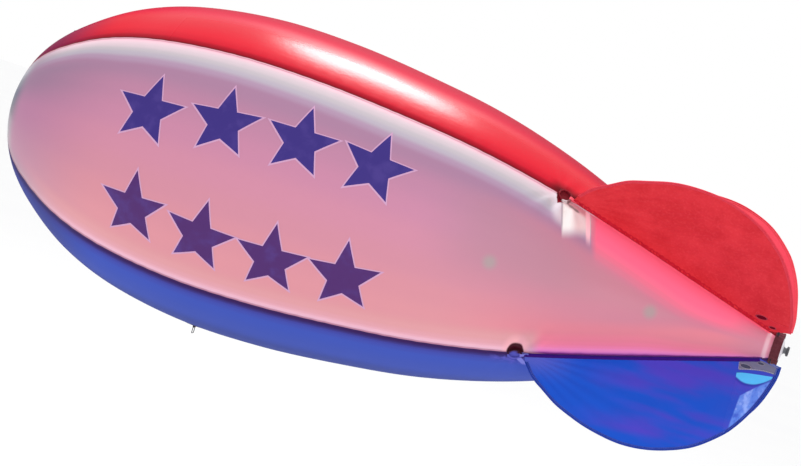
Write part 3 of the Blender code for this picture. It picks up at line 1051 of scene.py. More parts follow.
# %% Cord loops
LOOP_RADIUS, LOOP_CORD, LOOP_LIFT, LOOP_HUMP, LOOP_STEPS = 0.046, 0.0068, 0.0035, 0.0030, 150
STRANDS, LAY = 3, 0.036


def laid_cord(route, radius, across):
    """A cord of three strands wound about the route. across is square to the route all along it."""
    first, reach, strands = across.normalized(), lengths(route), []
    for k in range(STRANDS):
        line = []
        for i, spot in enumerate(route):
            second = direction(route, i).cross(first)
            angle = 2 * math.pi * (reach[i] / LAY + k / STRANDS)
            line.append(spot + 0.49 * radius * (math.cos(angle) * first + math.sin(angle) * second))
        strands.append(round_bar(line, 0.52 * radius, sides=2))
    return joined(strands, "cord", 60.0)


route = []
for i in range(LOOP_STEPS + 1):
    angle = 2 * math.pi * i / LOOP_STEPS + math.pi
    along, across = LOOP_RADIUS * math.cos(angle), LOOP_RADIUS * math.sin(angle)
    hump = LOOP_HUMP * bell(along - LOOP_RADIUS, 0.018)
    route.append(near_tie(along, across, LOOP_LIFT + LOOP_CORD + hump))
loop = laid_cord(route, LOOP_CORD, near_tie(0.0, 0.0, 1.0) - near_tie(0.0, 0.0, 0.0))
whipping = round_bar(route[-6:] + route[1:6], LOOP_CORD * 1.22, sides=4)
loops = on_seams(joined([loop, whipping], "loop", 60.0), "cord_loop_", 60.0)
print("cord loops", len(loops), "of", len(loops["top_port"].data.polygons), "faces")

# %% Straps
STRAP_HALF, STRAP_THICK = 0.0125, 0.0018


def strap_line(across):
    """The strap's middle line, folded round the loop's cord, and back to the fin's corner."""
    top = LOOP_LIFT + 2 * LOOP_CORD + 0.0042
    reach = (root_line[0].x - hull_x(TIE_SHARE)) / hull_normal(TIE_SHARE)[1] + 0.030
    spots = [
        (reach, 0.0150), (reach - 0.016, 0.0130), (LOOP_RADIUS + 0.010, top - 0.002), (LOOP_RADIUS, top),
        (LOOP_RADIUS - 0.008, top - 0.003), (LOOP_RADIUS - 0.0105, LOOP_LIFT + LOOP_CORD),
        (LOOP_RADIUS - 0.007, 0.0045), (LOOP_RADIUS + 0.004, 0.0036), (LOOP_RADIUS + 0.013, 0.0044),
        (reach - 0.012, 0.0085), (reach, 0.0105),
    ]
    return smooth_line([near_tie(along, across, height) for along, height in spots], 5)


strap = thicken(sheet_between(strap_line(-STRAP_HALF), strap_line(STRAP_HALF), 9), STRAP_THICK)
straps = on_seams(strap, "strap_")
print("straps", len(straps), "of", len(straps["top_port"].data.polygons), "faces")

# %% [markdown]
# ## Rear ties
#
# A short cord ties each fin's rear corner to the band round the tail. It is a laid cord too, with a round
# knot half way up.

# %% Rear ties
TIE_AT, TIE_CORD, TIE_STEPS = 0.9975, 0.0050, 60
tie_foot = band_point((hull_x(TIE_AT) - band_front[0]) / band_length, 0.0062)
tie_foot = Vector((tie_foot[0], 0.0, tie_foot[1]))
part = (hull_x(TIE_AT) - root_line[-1].x) / (edge_line[-1].x - root_line[-1].x)
tie_head = root_line[-1].lerp(edge_line[-1], part) + Vector((0.0, 0.0, 0.004))
tie_route = [tie_foot.lerp(tie_head, i / TIE_STEPS) for i in range(TIE_STEPS + 1)]
tie = laid_cord(tie_route, TIE_CORD, Vector((0.0, 1.0, 0.0)))
knot = primitive(
    bpy.ops.mesh.primitive_torus_add, "knot", location=tie_foot.lerp(tie_head, 0.55),
    rotation=(0.35, 0.2, 0.0), major_radius=0.0062, minor_radius=0.0042, major_segments=24, minor_segments=10,
)
ties = on_seams(joined([tie, knot], "tie", 60.0), "tie_", 60.0)
print("rear ties", round((tie_head - tie_foot).length, 3), "m long")

# %% [markdown]
# ## Mooring points
#
# A ring hangs in a fold of webbing on a round patch, at the nose and under the belly. Each is modelled
# lying on a flat surface at the origin and then turned and moved to its place on the hull.

# %% Where the moorings are
# Each row: name, share of the length from the nose, +1 top or -1 belly.
MOORINGS = (("nose", 0.0459, 1), ("belly", 0.3070, -1))
PATCH_RADIUS, CIRCLE_STEPS = 0.090, 120
KEEPER_LENGTH, KEEPER_HEIGHT, KEEPER_ROUND, WEB = 0.036, 0.0110, 0.0066, 0.0026


def on_middle(point, share, side):
    """A point of a flat piece, laid on the hull where its top or belly line is."""
    spot = share + side * point.x * hull_normal(share)[1] / LENGTH
    turn = side * 90.0 - side * math.degrees(point.y / hull_radius(share))
    return on_hull(spot, turn, 0.0016 + point.z)


fresh()
bpy.ops.mesh.primitive_circle_add(vertices=72, radius=PATCH_RADIUS, fill_type="NGON")
disc = bpy.context.object
edit(disc, "FACE")
for depth in (0.003, 0.009, 0.013, 0.013, 0.013, 0.013, 0.013):
    bpy.ops.mesh.inset(thickness=depth, depth=0.0)
bpy.ops.mesh.poke()
fresh()
thicken(disc, 0.0030)
apply_modifier(disc, "BEVEL", width=0.0008, segments=2, limit_method="ANGLE")


def circle(radius):
    """A closed line round the origin in the XZ plane."""
    turns = [2 * math.pi * i / CIRCLE_STEPS for i in range(CIRCLE_STEPS + 1)]
    return [Vector((radius * math.cos(turn), 0.0, radius * math.sin(turn))) for turn in turns]


disc_rows = joined([flat_row(circle(PATCH_RADIUS - depth), 0.0018) for depth in (0.008, 0.016)], "threads")
print("mooring patch", len(disc.data.polygons), "faces")

# %% Keeper and ring
KEEPER_FOOT = ((0.012, 0.0006), (0.018, 0.0), (0.025, 0.0))
RING_GAP, RING_BAR, RING_CORNER = 0.044, 0.006, 0.009
keeper_line = [Vector((-x, 0.0, z)) for x, z in KEEPER_FOOT[::-1]]
for i in range(17):
    lean = math.radians(222.0 - 264.0 * i / 16)
    x, z = KEEPER_ROUND * math.cos(lean), KEEPER_HEIGHT - 0.0018 + KEEPER_ROUND * math.sin(lean)
    keeper_line.append(Vector((x, 0.0, z)))
keeper_line = smooth_line(keeper_line + [Vector((x, 0.0, z)) for x, z in KEEPER_FOOT], 3)
half = Vector((0.0, KEEPER_LENGTH / 2, 0.0))
keeper = thicken(sheet_between([p - half for p in keeper_line], [p + half for p in keeper_line], 11), WEB)
reshape(keeper, lambda p: p + Vector((0.0, 0.0, 0.0018 + WEB / 2)))
low, high, wide = 0.0, RING_GAP + RING_BAR, RING_GAP / 2 + RING_BAR / 2
ring_line = []
for cx, cy, first in ((high, wide, 0), (low, wide, 90), (low, -wide, 180), (high, -wide, 270)):
    cx, cy = cx - math.copysign(RING_CORNER, cx - 0.001), cy - math.copysign(RING_CORNER, cy)
    for i in range(9):
        lean = math.radians(first + 90.0 * i / 8)
        ring_line.append(Vector((cx + RING_CORNER * math.cos(lean), cy + RING_CORNER * math.sin(lean), 0.0)))
ring = round_bar(ring_line, RING_BAR / 2, closed=True, sides=6)
print("keeper", len(keeper.data.polygons), "faces, ring", len(ring.data.polygons), "faces")

# %% Moorings in their places
moorings = {}
for name, share, side in MOORINGS:
    along, away = hull_normal(share)
    lean = math.atan2(along, side * away)
    lie = lean - math.radians(90.0) if name == "nose" else math.pi
    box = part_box("mooring_patch_" + name)
    centre = (Vector(box[0]) + Vector(box[1])) / 2
    joint = next(j for j in frame["record"]["behaviour"]["joints"] if j["name"] == name + "_ring_swing")
    pivot = Vector(joint["pos_m"])
    moorings[name] = []
    for part, title in ((disc, "mooring_patch_web_"), (disc_rows, "mooring_patch_stitches_web_")):
        twin = reshape(copy_of(part, title + name), lambda p: on_middle(p, share, side))
        moorings[name].append(face_out(settle(twin, twin.name)))
    for part, title, turn, place, smooth in (
        (keeper, "mooring_keeper_web_", lean, centre, 35.0),
        (ring, "steel_ring_", lie - math.radians(90.0), pivot, 60.0),
    ):
        twin = copy_of(part, title + name)
        twin.rotation_euler = (0.0, turn, 0.0)
        twin.location = place
        moorings[name].append(settle(twin, twin.name, smooth))
    print(name, "ring", [round(v, 3) for v in pivot], "spans", [round(d, 3) for d in twin.dimensions])
discard(disc, disc_rows, keeper, ring)

# %% [markdown]
# ## Printed marks
#
# The hull's sides carry big plain marks in two rows, as print on film. Here they are five-pointed stars.
# Each is a flat star, cut into small faces and laid on the curved film, with a thin pale border under it.

# %% Stars
STAR_RADIUS, STAR_WAIST, STAR_BORDER = 0.272, 0.44, 0.018
# Each row: distance from the nose as a share of the length, height over the middle and tilt in degrees.
STAR_PLACES = (
    (0.224, 14.5, 0.0), (0.318, 18.0, 6.0), (0.412, 20.0, 3.0), (0.504, 20.5, -2.0),
    (0.238, -21.0, 4.0), (0.328, -22.5, -3.0), (0.418, -23.0, 2.0), (0.506, -22.0, 5.0),
)


def flat_star(radius):
    """A star that lies flat, cut into small faces."""
    fresh()
    bpy.ops.mesh.primitive_circle_add(vertices=10, radius=radius, fill_type="NGON")
    star = bpy.context.object
    edit(star)
    bpy.ops.mesh.select_all(action="DESELECT")
    bpy.ops.object.mode_set(mode="OBJECT")
    for i, vertex in enumerate(star.data.vertices):
        vertex.select = i % 2 == 1
    bpy.ops.object.mode_set(mode="EDIT")
    bpy.ops.transform.resize(value=(STAR_WAIST, STAR_WAIST, 1.0))
    bpy.ops.mesh.select_all(action="SELECT")
    bpy.ops.mesh.poke()
    bpy.ops.mesh.subdivide(number_cuts=11)
    fresh()
    return star


def on_side(point, share, angle, tilt, side, lift):
    """A point of a flat mark, laid on the hull's side. side is -1 to port and 1 to starboard."""
    c, s = math.cos(math.radians(tilt)), math.sin(math.radians(tilt))
    along, height = -side * (c * point.x - s * point.y), s * point.x + c * point.y
    spot = share + along * hull_normal(share)[1] / LENGTH
    turn = angle + math.degrees(height / hull_radius(share))
    return on_hull(spot, 180.0 - turn if side < 0 else turn, lift + point.z)


marks = {}
STAR_LAYERS = (("border", STAR_RADIUS + STAR_BORDER * 1.6, 0.0008), ("star", STAR_RADIUS, 0.0015))
for layer, radius, lift in STAR_LAYERS:
    star = thicken(flat_star(radius), 0.0005)
    for title, side in (("port", -1), ("starboard", 1)):
        laid = []
        for share, angle, tilt in STAR_PLACES:
            twin = copy_of(star, "star")
            laid.append(reshape(twin, lambda p: on_side(p, share, angle, tilt, side, lift)))
        marks[layer, title] = face_out(joined(laid, layer + "s_" + title, 60.0))
    discard(star)
print("marks", len(STAR_PLACES), "a side,", len(marks["star", "port"].data.polygons), "faces a layer")

# %% [markdown]
# ## Finishes
#
# The hull's film is thin and lets light through. That light, the sky's reflection and the shade are painted
# into the film's colour, which drifts over the hull: a painted highlight where the seam catches the light,
# painted warm light low down, painted grey shade at the nose, and a painted rosy glow under the red fin.
# Those drifts are painted by the place on the hull, from the height over its middle and the distance from
# the nose.

# %% Places on the hull and its skin
def hull_places(paint):
    """Vector, y, z, share from the nose, height over the middle in degrees, and metres from the nearer seam.

    The last is below 0 on the port and starboard gores, and above 0 on the top and the belly.
    """
    spot, x, y, z = paint.places()
    height = z.math("ARCTAN2", abs(y)) * (180.0 / math.pi)
    over = (abs(height) - 45.0) * (math.pi / 180.0) * diagonal(y, z)
    return spot, y, z, x * (1.0 / LENGTH) + 0.5, height, over


def film_skin(paint, spot):
    """The small unevenness of blown film, over its slow slackness."""
    slack = paint.bump(paint.noise(spot, 1.6, detail=2.0, stretch=(0.5, 1.0, 1.0)), 0.0035)
    return paint.bump(paint.noise(spot, 26.0, detail=3.0, stretch=(0.6, 1.0, 1.0)), 0.0006, below=slack)


def beside_tie(share, over, slope, start=0.0):
    """Metres behind the tie, along a line that leans by slope for each metre from the seam."""
    return (share - TIE_SHARE) * LENGTH + over * slope - start


# %% White film
white = Paint("white_film", 0.42, 0.12)
spot, y, z, share, height, over = hull_places(white)
level = (height + 50.0) * 0.01
inward = over * -1.0
upper = height.step(-12.0, 12.0)
lower = 1.0 - upper
# The film's own colour is white. These ramps paint the light that comes through it, mauve and pink, with
# painted grey shade towards the nose and a warmer painted glow towards the tail.
middle = white.ramp(
    level, (0.00, (206, 142, 150)), (0.20, (205, 137, 146)), (0.30, (200, 133, 145)), (0.40, (194, 130, 147)),
    (0.50, (193, 129, 151)), (0.60, (187, 126, 153)), (0.70, (179, 124, 152)), (0.80, (162, 120, 148)),
)
nose = white.ramp(
    level, (0.00, (156, 136, 148)), (0.20, (174, 127, 150)), (0.50, (171, 117, 149)), (0.70, (148, 113, 141)),
    (0.80, (144, 113, 140)),
)
tail = white.ramp(
    level, (0.00, (208, 122, 136)), (0.20, (212, 125, 138)), (0.40, (195, 125, 142)), (0.50, (191, 126, 142)),
    (0.60, (188, 121, 138)), (0.70, (194, 118, 139)),
)
white.colour = white.mix(share.step(0.03, 0.20), nose, middle)
white.lay(share.step(0.60, 0.78), tail)
# Painted shade: the film is dimmer over the middle of its rear half.
painted_dim = share.step(0.56, 0.66) * share.step(0.82, 0.72) * height.step(-16.0, 4.0) * height.step(34.0, 18.0)
white.lay(painted_dim * 0.55, (166, 122, 138))
# Painted highlight: a pale band under the upper seam, where the bulging film reflects the sky, whiter towards
# the nose.
reach = inward * (share.step(0.17, 0.05) * 0.45 + share.step(0.50, 0.66) * 0.12 + 1.0)
painted_highlight_band = white.ramp(
    reach * 2.5,
    (0.03, (206, 142, 160)), (0.09, (208, 173, 184)), (0.15, (200, 180, 188)), (0.22, (192, 177, 184)),
    (0.32, (178, 169, 176)), (0.42, (171, 161, 174)), (0.55, (164, 135, 160)), (0.70, (158, 118, 146)),
)
painted_highlight_band = white.mix(share.step(0.36, 0.12) * reach.step(0.15, 0.05) * 0.3, painted_highlight_band, (236, 200, 212))
white.lay(upper * reach.step(0.38, 0.24) * share.step(0.0, 0.09), painted_highlight_band)
# Painted light and shade above the lower seam: shade in the seam's valley, then a pale band where the film
# bulges.
low_band = white.ramp(
    inward * 4.0,
    (0.04, (180, 124, 150)), (0.11, (217, 170, 189)), (0.19, (220, 168, 184)), (0.26, (214, 157, 171)),
    (0.35, (210, 150, 160)), (0.55, (208, 146, 151)), (0.85, (206, 143, 147)),
)
white.lay(lower * inward.step(0.26, 0.15) * share.step(0.04, 0.20), low_band)
# Towards the tail the lower seam is painted in deep purple shade, with a painted pink glow of light through
# the film above it.
rear_band = white.ramp(
    inward * (share.step(0.84, 0.97) * 4.0 + 4.0),
    (0.02, (110, 36, 122)), (0.06, (160, 74, 155)), (0.10, (205, 110, 182)), (0.14, (236, 130, 192)),
    (0.19, (250, 141, 196)), (0.26, (250, 142, 184)), (0.34, (246, 132, 165)), (0.45, (238, 127, 150)),
    (0.62, (228, 125, 142)), (0.90, (216, 125, 138)),
)
white.lay(lower * inward.step(0.34, 0.20) * share.step(0.728, 0.744), rear_band)
print("white film so far", len(white.tree.nodes), "nodes")

# %% Red light through the film, and painted light and shade at the ties
near_fin = inward + share.step(0.88, 1.0) * 0.14
glow = white.ramp(
    near_fin * 2.5,
    (0.05, (246, 98, 128)), (0.12, (246, 102, 134)), (0.34, (247, 107, 141)), (0.42, (250, 106, 140)),
    (0.51, (240, 110, 141)), (0.61, (224, 111, 138)), (0.71, (209, 115, 139)), (0.85, (196, 118, 140)),
)
along = beside_tie(share, inward, -0.36)
white.lay(upper * along.step(0.200, 0.258) * near_fin.step(0.37, 0.29), glow)


def beside_top_tie(shade, strength, start, end, reach):
    """Paints the film from start to end behind the tie, as far from the seam as reach."""
    area = upper * along.step(*start) * along.step(*end) * inward.step(*reach)
    white.lay(area * strength, shade)


# Painted rosy glow behind the tie, from light through the red fin.
beside_top_tie((214, 104, 132), 0.6, (0.205, 0.212), (0.270, 0.225), (0.30, 0.16))
# Painted highlight: pale lilac light on the gathered film in front of the tie.
beside_top_tie((212, 198, 206), 0.85, (-0.125, -0.060), (-0.010, -0.024), (0.27, 0.16))
# Painted highlight on the folds gathered behind the tie, with a painted rosy glow near the seam.
fold_highlight_colour = white.mix(along.step(0.03, 0.11), (234, 227, 226), (222, 196, 198))
fold_highlight_colour = white.mix(inward.step(0.085, 0.035) * 0.8, fold_highlight_colour, (196, 112, 126))
fold_highlight = upper * along.step(-0.030, -0.014) * along.step(0.212, 0.196)
fold_highlight = fold_highlight * (inward + along * 0.55).step(0.32, 0.215)
white.lay(fold_highlight, fold_highlight_colour)
for spot_along, spot_in in ((0.052, 0.050), (0.092, 0.056)):
    away = diagonal((along - spot_along) * (1.0 / 0.030), (inward - spot_in) * (1.0 / 0.014))
    white.lay(upper * away.step(1.1, 0.5) * 0.75, (112, 96, 96))
# Painted highlight: a pinkish-white edge on the last of those folds.
beside_top_tie((246, 186, 198), 0.9, (0.160, 0.178), (0.208, 0.196), (0.27, 0.17))
# Painted shade in a crease in front of the tie.
crease_shade = inward.step(0.04, 0.08) * 0.6
beside_top_tie((134, 116, 136), crease_shade, (-0.034, -0.022), (-0.008, -0.019), (0.29, 0.20))
# Where the tie pulls the red film over the seam, the white film is painted dark red: red film in painted
# shade.
beside_top_tie((92, 0, 14), 1.0, (-0.064, -0.054), (-0.014, -0.024), (0.074, 0.056))
shaded_red_lap = upper * along.step(-0.064, -0.054) * (inward + along * 0.7).step(0.052, 0.042)
white.lay(shaded_red_lap * along.step(0.10, 0.05), (120, 0, 22))
from_tie = diagonal((share - TIE_SHARE) * (LENGTH / 0.060), inward * (1.0 / 0.112))
white.lay(lower * from_tie.step(1.9, 1.1) * 0.6, (236, 170, 178))
white.lay(lower * from_tie.step(1.08, 0.90), (58, 4, 22))
port = y.math("LESS_THAN", 0.0)
for spot_share, spot_height in ((0.662, -0.5), (0.850, -1.5)):
    away = white.distance(spot, on_hull(spot_share, 180.0 - spot_height))
    white.lay(port * away.step(0.075, 0.015) * 0.6, (150, 152, 146))
# Painted shade near the upper seam towards the tail, under the fin.
white.lay(share.step(0.925, 0.985) * near_fin.step(0.10, 0.18) * 0.85, (190, 125, 143))
white.lay(share.step(0.984, 0.987) * share.step(0.992, 0.989) * 0.6, (224, 190, 198))
# Painted shade towards the nose: the film goes grey-blue, darkest at middle height.
nose_edge = white.ramp(
    level, (0.00, (170, 166, 170)), (0.20, (166, 162, 168)), (0.32, (156, 148, 157)), (0.42, (122, 116, 129)),
    (0.50, (106, 106, 121)), (0.60, (96, 100, 121)), (0.70, (124, 125, 138)), (0.85, (176, 178, 186)),
)
white.lay(share.step(0.040, 0.016), nose_edge)
white.finish(Normal=film_skin(white, spot))
print("white film with", len(white.tree.nodes), "nodes")

# %% Red and blue film
red = Paint("red_film", 0.25, 0.12)
spot, y, z, share, height, over = hull_places(red)
# Painted shade: the red is darkest in the seam's valley, and deeper over the top of the hull and at the nose.
red.colour = red.ramp(
    over, (0.00, (108, 0, 18)), (0.03, (152, 2, 28)), (0.07, (188, 10, 36)), (0.14, (196, 20, 40)),
    (0.30, (190, 26, 42)), (0.55, (184, 20, 52)), (0.95, (172, 8, 54)),
)
red.lay(height.step(66.0, 84.0) * 0.9, (148, 0, 36))
red.lay(share.step(0.13, 0.04), (114, 0, 58))
# Painted shade on the red film by the tie, where it is pulled into folds.
along = beside_tie(share, over, 0.0)
corner = over.step(0.14, 0.02) * along.step(-0.16, -0.05) * along.step(0.19, 0.08)
red.lay(corner, (92, 0, 12))
shine = (height.step(62.0, 74.0) * 0.5 + share.step(0.22, 0.10) * 0.5).clamped() + 0.25
red.finish(Roughness=shine, Normal=film_skin(red, spot))
blue = Paint("blue_film", 0.75, 0.05)
spot, y, z, share, height, over = hull_places(blue)
# Painted shade: the blue is darkest in the seam's valley and darker towards the bottom of the hull.
blue.colour = blue.ramp(
    over, (0.00, (50, 26, 78)), (0.02, (54, 30, 84)), (0.035, (52, 40, 98)), (0.05, (58, 52, 122)),
    (0.07, (62, 66, 150)), (0.10, (62, 74, 162)), (0.15, (60, 80, 170)), (0.35, (62, 80, 165)),
    (0.60, (55, 68, 138)), (1.00, (40, 52, 112)),
)
# Painted shade towards the nose, and around the belly's mooring.
blue.lay(share.step(0.20, 0.10) * 0.6, (58, 56, 104))
away = blue.distance(spot, on_hull(0.307, 270.0))
blue.lay(away.step(0.24, 0.10) * 0.7, (34, 34, 84))
along = beside_tie(share, over, 0.0)
lilac = blue.noise(spot, 22.0, detail=2.0).step(0.40, 0.70) * over.step(0.16, 0.06) * over.step(0.02, 0.05)
blue.lay(lilac * abs(along).step(0.20, 0.08) * 0.7, (96, 92, 190))
web_line = abs(beside_tie(share, over, -0.53, 0.003))
blue.lay(web_line.step(0.024, 0.014) * over.step(0.155, 0.12) * 0.9, (124, 126, 206))
blue.finish(Normal=film_skin(blue, spot))
print("red film with", len(red.tree.nodes), "nodes, blue film with", len(blue.tree.nodes))

# %% Nose patch, tail cap and seam tape
# Each row: name, roughness, size of the clouds, two colours, size and height of the grain.
END_FILMS = (
    ("nose_film", 0.45, 9.0, (150, 142, 156), (172, 164, 176), 60.0, 0.0006),
    ("tail_film", 0.40, 12.0, (196, 192, 200), (222, 216, 222), 70.0, 0.0008),
)
for name, roughness, clouds, first, second, grains, height in END_FILMS:
    paint = Paint(name, roughness)
    spot = paint.places()[0]
    paint.colour = paint.mix(paint.noise(spot, clouds), first, second)
    paint.finish(Normal=paint.bump(paint.noise(spot, grains), height))
tape_paint = Paint("seam_tape", 0.35, 0.10)
spot, y, z, share, height, over = hull_places(tape_paint)
# Painted light on the tape's white side: a rosy glow under the top fin, and dark red painted shade at the top
# tie.
white_side = tape_paint.mix(share.step(0.745, 0.765), (206, 156, 170), (244, 88, 114))
beside_top = abs(beside_tie(share, over, 0.0, -0.03)).step(0.034, 0.024)
white_side = tape_paint.mix(beside_top, white_side, (92, 0, 14))
# Towards the tail the tape's lower white side is painted in purple shade.
pink_side = tape_paint.mix(share.step(0.735, 0.750), (184, 128, 154), (112, 40, 124))
pink_side = tape_paint.mix(abs(beside_tie(share, over, 0.0)).step(0.062, 0.052), pink_side, (58, 4, 22))
# Over the red and blue films the tape is painted deep: doubled film, in the painted shade of the seam's
# valley.
top_side = tape_paint.mix(over.step(-0.004, 0.002), white_side, (108, 0, 18))
low_side = tape_paint.mix(over.step(-0.006, -0.001), pink_side, (50, 26, 78))
tape_paint.colour = tape_paint.mix(z.math("GREATER_THAN", 0.0), low_side, top_side)
tape_paint.finish(Normal=tape_paint.bump(tape_paint.noise(spot, 90.0), 0.0004))
print("tape finish with", len(tape_paint.tree.nodes), "nodes")

# %% Fin cloth
def fin_places(paint):
    """Vector, y, share from the nose, and distance from the hull's axis as a share of the length."""
    spot, x, y, z = paint.places()
    return spot, y, x * (1.0 / LENGTH) + 0.5, diagonal(y, z) * (1.0 / LENGTH)


def cloth(paint, spot):
    """A fine plain weave over soft unevenness."""
    weave = paint.noise(spot, 420.0, detail=1.0)
    return paint.bump(weave, 0.0003, below=paint.bump(paint.noise(spot, 7.0, detail=3.0), 0.0025))


def fin_blue(paint, spot, share):
    """The belly fins' blue, with purple where the light comes through."""
    bands = paint.noise(spot, 3.2, detail=2.0, stretch=(0.45, 1.6, 1.6)).step(0.38, 0.66)
    colour = paint.mix(bands * share.step(0.78, 0.88) * 0.85, (16, 78, 194), (76, 60, 186))
    return paint.mix(share.step(0.93, 0.99) * 0.4, colour, (50, 74, 190))


red_cloth = Paint("red_fin_cloth", 0.6, 0.15)
spot, y, share, away = fin_places(red_cloth)
clouds = red_cloth.noise(spot, 5.0, detail=5.0, roughness=0.65).step(0.3, 0.7)
red_cloth.colour = red_cloth.mix(clouds, (192, 33, 42), (207, 45, 54))
red_cloth.lay(red_cloth.noise(spot, 55.0, detail=2.0).step(0.45, 0.75) * 0.25, (220, 70, 76))
sunlit = y.math("GREATER_THAN", 0.0) * share.step(0.86, 0.95)
red_cloth.lay(sunlit * 0.85, (206, 48, 72))
red_cloth.finish(Normal=cloth(red_cloth, spot))
blue_cloth = Paint("blue_fin_cloth", 0.5, 0.12)
spot, y, share, away = fin_places(blue_cloth)
blue_cloth.colour = fin_blue(blue_cloth, spot, share)
blue_cloth.lay(share.step(0.80, 0.72) * away.step(0.17, 0.13), (86, 96, 190))
blue_cloth.finish(Normal=cloth(blue_cloth, spot))
# The panel is painted lighter blue, as light coming through it, with a painted cyan highlight on a fold near
# its foot, painted dark shade beside that fold and painted shade along its foot.
backlit_panel = Paint("rear_panel_film", 0.40, 0.2)
spot, y, share, away = fin_places(backlit_panel)
backlit_panel.colour = backlit_panel.ramp(
    backlit_panel.noise(spot, 16.0, detail=4.0, roughness=0.6, stretch=(1.0, 0.5, 0.5)),
    (0.32, (60, 96, 204)), (0.5, (90, 132, 226)), (0.68, (136, 168, 244)),
)
behind = share + (away * 0.724).math("MINIMUM", 0.0652) - 1.0437
backlit_panel.lay(behind.step(0.0012, -0.0008), fin_blue(backlit_panel, spot, share))
bow = (share - 0.9880) * (1.0 / 0.024)
slant = away + (share - 0.9680) * 0.42
low_edge = slant + bow * bow * 0.016
backlit_panel.lay(low_edge.step(0.0820, 0.0780) * 0.6, (22, 52, 156))
backlit_panel.lay(low_edge.step(0.0775, 0.0745), (80, 186, 246))
backlit_panel.lay(slant.step(0.0575, 0.0555), (34, 92, 160))
backlit_panel.finish(Normal=backlit_panel.bump(backlit_panel.noise(spot, 40.0), 0.002))
print("fin finishes made")

# %% Hems, threads, webbing and cord
# Each row: name, two colours, roughness, size of the weave, and share of the mirror light (0.5 is plain).
WOVEN = (
    ("red_hem_cloth", (196, 40, 56), (212, 64, 80), 0.6, 380.0, 0.1),
    ("blue_hem_cloth", (22, 44, 128), (30, 60, 160), 0.6, 380.0, 0.1),
    # The root hems are the fin cloth painted darker, as painted shade along the root.
    ("red_root_cloth", (150, 8, 28), (200, 32, 52), 0.6, 380.0, 0.1),
    ("blue_root_cloth", (46, 6, 100), (54, 20, 122), 0.6, 380.0, 0.1),
    ("red_thread", (190, 40, 56), (214, 70, 84), 0.6, 380.0, 0.5),
    ("blue_thread", (70, 90, 190), (100, 120, 214), 0.6, 380.0, 0.5),
    ("pale_thread", (200, 190, 198), (226, 220, 224), 0.6, 380.0, 0.5),
    ("dark_webbing", (40, 22, 32), (64, 42, 50), 0.8, 260.0, 0.1),
    ("collar_webbing", (70, 24, 34), (100, 50, 58), 0.8, 260.0, 0.1),
    ("dark_thread", (92, 76, 84), (120, 104, 110), 0.6, 380.0, 0.5),
    ("dark_cord", (22, 14, 24), (44, 30, 42), 0.75, 300.0, 0.5),
    # The belly fins' rear patches are painted grey-blue: the fin's blue in painted shade.
    ("grey_webbing", (88, 94, 124), (110, 114, 142), 0.7, 260.0, 0.5),
    ("red_webbing", (192, 30, 42), (208, 46, 58), 0.6, 260.0, 0.15),
    # The top straps are painted rose: red webbing with a painted highlight.
    ("rose_webbing", (214, 52, 72), (232, 96, 112), 0.6, 260.0, 0.15),
    ("lilac_webbing", (96, 92, 176), (124, 122, 204), 0.6, 260.0, 0.15),
    ("border_print", (190, 144, 178), (198, 154, 186), 0.5, 90.0, 0.12),
    # The eyelets' holes are painted shade: dark red on the top fins, dark grey-blue on the belly fins.
    ("eyelet_shade", (88, 0, 20), (108, 6, 30), 0.9, 90.0, 0.05),
    ("eyelet_grey", (58, 62, 86), (70, 76, 100), 0.9, 90.0, 0.05),
)
for name, first, second, roughness, scale, mirror in WOVEN:
    paint = Paint(name, roughness, mirror)
    spot = paint.places()[0]
    shade = paint.mix(paint.noise(spot, 24.0, detail=4.0), first, second)
    grain = paint.noise(spot, scale, detail=1.0)
    paint.colour = paint.mix(grain.step(0.4, 0.75) * 0.3, shade, second)
    paint.finish(Normal=paint.bump(grain, 0.0005))
ink = Paint("indigo_print", 0.5, 0.12)
spot, x, y, z = ink.places()
# The ink is painted warmer on the lower stars and bluer on the upper, as the light through the film tints it.
ink.colour = ink.mix(z.step(-0.15, 0.15), (74, 40, 100), (56, 43, 118))
ink.lay(ink.noise(spot, 9.0, detail=3.0).step(0.45, 0.75) * 0.4, (80, 64, 138))
ink.finish(Normal=ink.bump(ink.noise(spot, 90.0), 0.0005))
print("woven finishes", len(WOVEN))

# %% Webbing at the ties, which takes the colour of the film around it
def tie_webbing(name, red_side, white_top, dark_low, white_low, blue_side, edge=0.053):
    """Webbing over a seam: dark near the tie on the white side of the belly seams."""
    paint = Paint(name, 0.7, 0.15)
    spot, y, z, share, height, over = hull_places(paint)
    along = (share - TIE_SHARE) * LENGTH
    from_tie = (along * along + over * over * 0.3).math("SQRT")
    # On the top seams the red side, and the red film pulled over the seam at the tie, are painted dark red,
    # in painted shade.
    top_white = paint.mix(along.step(0.028, 0.036) * 0.75, white_top, red_side)
    top_white = paint.mix(along.step(-0.014, -0.024), top_white, red_side)
    top_white = paint.mix((along * 0.7 - over).step(0.052, 0.042), top_white, red_side)
    top = paint.mix(over.step(-0.003, 0.003), top_white, red_side)
    low_white = paint.mix(from_tie.step(edge + 0.004, edge), white_low, dark_low)
    near_strap = over.step(-0.040, 0.0) * along.step(-0.045, -0.01) * along.step(0.03, 0.0)
    low_white = paint.mix(near_strap, low_white, blue_side)
    low = paint.mix(over.step(-0.004, 0.006), low_white, blue_side)
    paint.colour = paint.mix(z.math("GREATER_THAN", 0.0), low, top)
    light = paint.mix(0.5, paint.colour, (255, 255, 255), "SOFT_LIGHT")
    paint.lay(paint.noise(spot, 40.0).step(0.4, 0.75) * 0.4, light)
    paint.finish(Normal=paint.bump(paint.noise(spot, 260.0, detail=1.0), 0.0005))


tie_webbing("anchor_webbing", (100, 2, 18), (214, 196, 198), (54, 2, 18), (224, 164, 176), (74, 74, 166))
tie_webbing("loop_cord", (110, 2, 22), (196, 176, 180), (44, 0, 14), (90, 20, 50), (86, 84, 176), 0.12)
print("tie finishes made")

